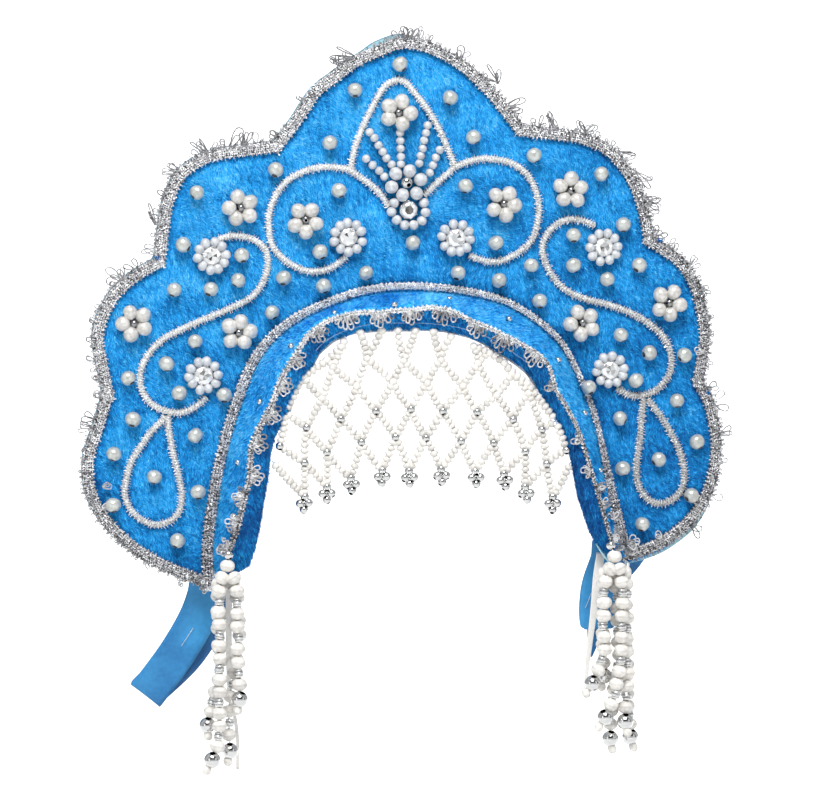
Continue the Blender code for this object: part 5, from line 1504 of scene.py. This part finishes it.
def buildStrips():
    for name, rows in strips.items():
        ribbon = name.startswith("ribbon")
        thick = stripSizes["ribbonThickness" if ribbon else "tapeThickness"]
        rings, path, widths = stripRings(rows, thick, ribbon)
        shape = emptyShape()
        if not ribbon:
            addLoft(shape, rings)
            makePiece(name + "_woven", shape, tapeWeave, [name])
            continue
        # the layer behind the fold, and the cloth under the hoop, are in shade
        front = path[:, 2] > stripSizes["foldDepth"]
        down = np.clip((-94 - path[:, 1]) / 50, 0, 1)
        tones = np.where(front, 0.42 - 0.29 * down, 0.02)
        addLoft(shape, rings, np.repeat(tones, rings.shape[1]))
        piece = makePiece(name + "_satin", shape, ribbonSatin, [name])
    stitches = emptyShape()
    for line in bastingStitches:
        addThreads(stitches, line, 0.11, 5, 0.3)
    makePiece("ribbon_basting", stitches, whiteGimp)
    # the pale hem at the hoop's right end
    hem = emptyShape()
    addThreads(hem, evenly(np.array(hemLine), 1.0), 0.34, 6)
    makePiece("hoop_hem", hem, liningSatin)


buildStrips()
print("ribbons and tapes hung")


studio = {"floor": -0.28, "target": (3.93, 0.0, -29.65), "azimuth": -8.5, "elevation": 5.0, "roll": 1.3,
          "distance": 1.8, "focalPixels": 4500.0, "imageWidth": 836.0, "room": 0.75, "paperGlow": 0.9,
          # place, aim, size and watts of each soft box
          "boxes": {"key_box": ((-0.2, -1.15, 1.5), (0, 0, 0), (1.0, 0.8), 40),
                    "fill_left": ((-1.5, -1.2, 0.3), (0, 0, -0.03), (0.7, 0.9), 2.5),
                    "fill_right": ((1.5, -1.4, 0.5), (0, 0, -0.03), (0.7, 0.9), 2)}}


def buildStudio():
    scene = bpy.context.scene
    scene.view_settings.view_transform = "Standard"
    scene.view_settings.look = "None"

    # a white paper sweep: a low wall before the set, the floor, a soft bend and a wall
    profile = [(-3.4, 0.7), (-3.35, 0.2), (-3.2, -0.1), (-2.9, -0.24), (-2.6, studio["floor"])]
    profile += [(y, studio["floor"]) for y in (-0.1, 0.4, 1.6)]
    profile += [(1.6 + 0.8 * math.sin(a), studio["floor"] + 0.8 * (1 - math.cos(a)))
                for a in np.linspace(0.1, math.pi / 2, 12)]
    profile += [(2.4, 0.75), (2.4, 3.4)]
    across = (-4.5, -0.7, -0.4, 1.1, 1.4, 4.5)
    verts = [(x, y, z) for y, z in profile for x in across]
    faces = gridFaces(len(profile), len(across)).tolist()
    mesh = bpy.data.meshes.new("paper_sweep")
    mesh.from_pydata(verts, [], faces)
    glow = mesh.attributes.new("glow", "FLOAT", "POINT")
    # the part of the paper that lies in the camera's view glows: painted light in place of a lamp behind the
    # object
    seen = [y > 0 and z < 0.6 and -0.5 < x < 1.2 for x, y, z in verts]
    glow.data.foreach_set("value", [studio["paperGlow"] * inView for inView in seen])
    sweep = bpy.data.objects.new("paper_sweep", mesh)
    scene.collection.objects.link(sweep)
    paper, tree, shader = startMaterial("whitePaper", {
        "Roughness": 0.9, "Base Color": linear("#F2F2F2"), "Emission Color": linear("#FFFFFF")})
    lit = addNode(tree, "ShaderNodeAttribute", {"attribute_name": "glow"})
    tree.links.new(lit.outputs["Fac"], shader.inputs["Emission Strength"])
    mesh.materials.append(paper)

    world = bpy.data.worlds.new("studio")
    scene.world = world
    world.use_nodes = True
    tree = world.node_tree
    background = tree.nodes["Background"]
    coords = addNode(tree, "ShaderNodeTexCoord")
    # the room in front of the set is darker than the paper behind it, which gives metal its dark marks
    front = addNode(tree, "ShaderNodeVectorMath", {"operation": "DOT_PRODUCT", 1: (0.0, -1.0, -0.25)},
                    {0: (coords, "Generated")})
    ramp = addNode(tree, "ShaderNodeValToRGB", {"stops": [
        (0.05, "#E4E7EA"), (0.3, "#7F8183"), (0.75, "#3A3C3E")]}, {"Fac": (front, "Value")})
    tree.links.new(ramp.outputs["Color"], background.inputs["Color"])
    background.inputs["Strength"].default_value = studio["room"]

    for name, (place, aim, size, power) in studio["boxes"].items():
        light = bpy.data.lights.new(name, "AREA")
        light.shape = "RECTANGLE"
        light.size, light.size_y = size
        light.energy = power
        lamp = bpy.data.objects.new(name, light)
        lamp.location = place
        lamp.rotation_euler = (Vector(aim) - Vector(place)).to_track_quat("-Z", "Y").to_euler()
        scene.collection.objects.link(lamp)

    turn, tilt = math.radians(studio["azimuth"]), math.radians(studio["elevation"])
    back = Vector((math.sin(turn) * math.cos(tilt), -math.cos(turn) * math.cos(tilt), math.sin(tilt)))
    camera = bpy.data.objects.new("camera", bpy.data.cameras.new("camera"))
    camera.data.sensor_fit = "HORIZONTAL"
    camera.data.sensor_width = 36.0
    camera.data.lens = studio["focalPixels"] / studio["imageWidth"] * 36.0
    place = Vector(studio["target"]) * mm + back * studio["distance"]
    look = (-back).to_track_quat("-Z", "Y").to_matrix().to_4x4()
    roll = Matrix.Rotation(math.radians(-studio["roll"]), 4, "Z")
    camera.matrix_world = Matrix.Translation(place) @ look @ roll
    scene.collection.objects.link(camera)
    scene.camera = camera


buildStudio()
print("studio set")
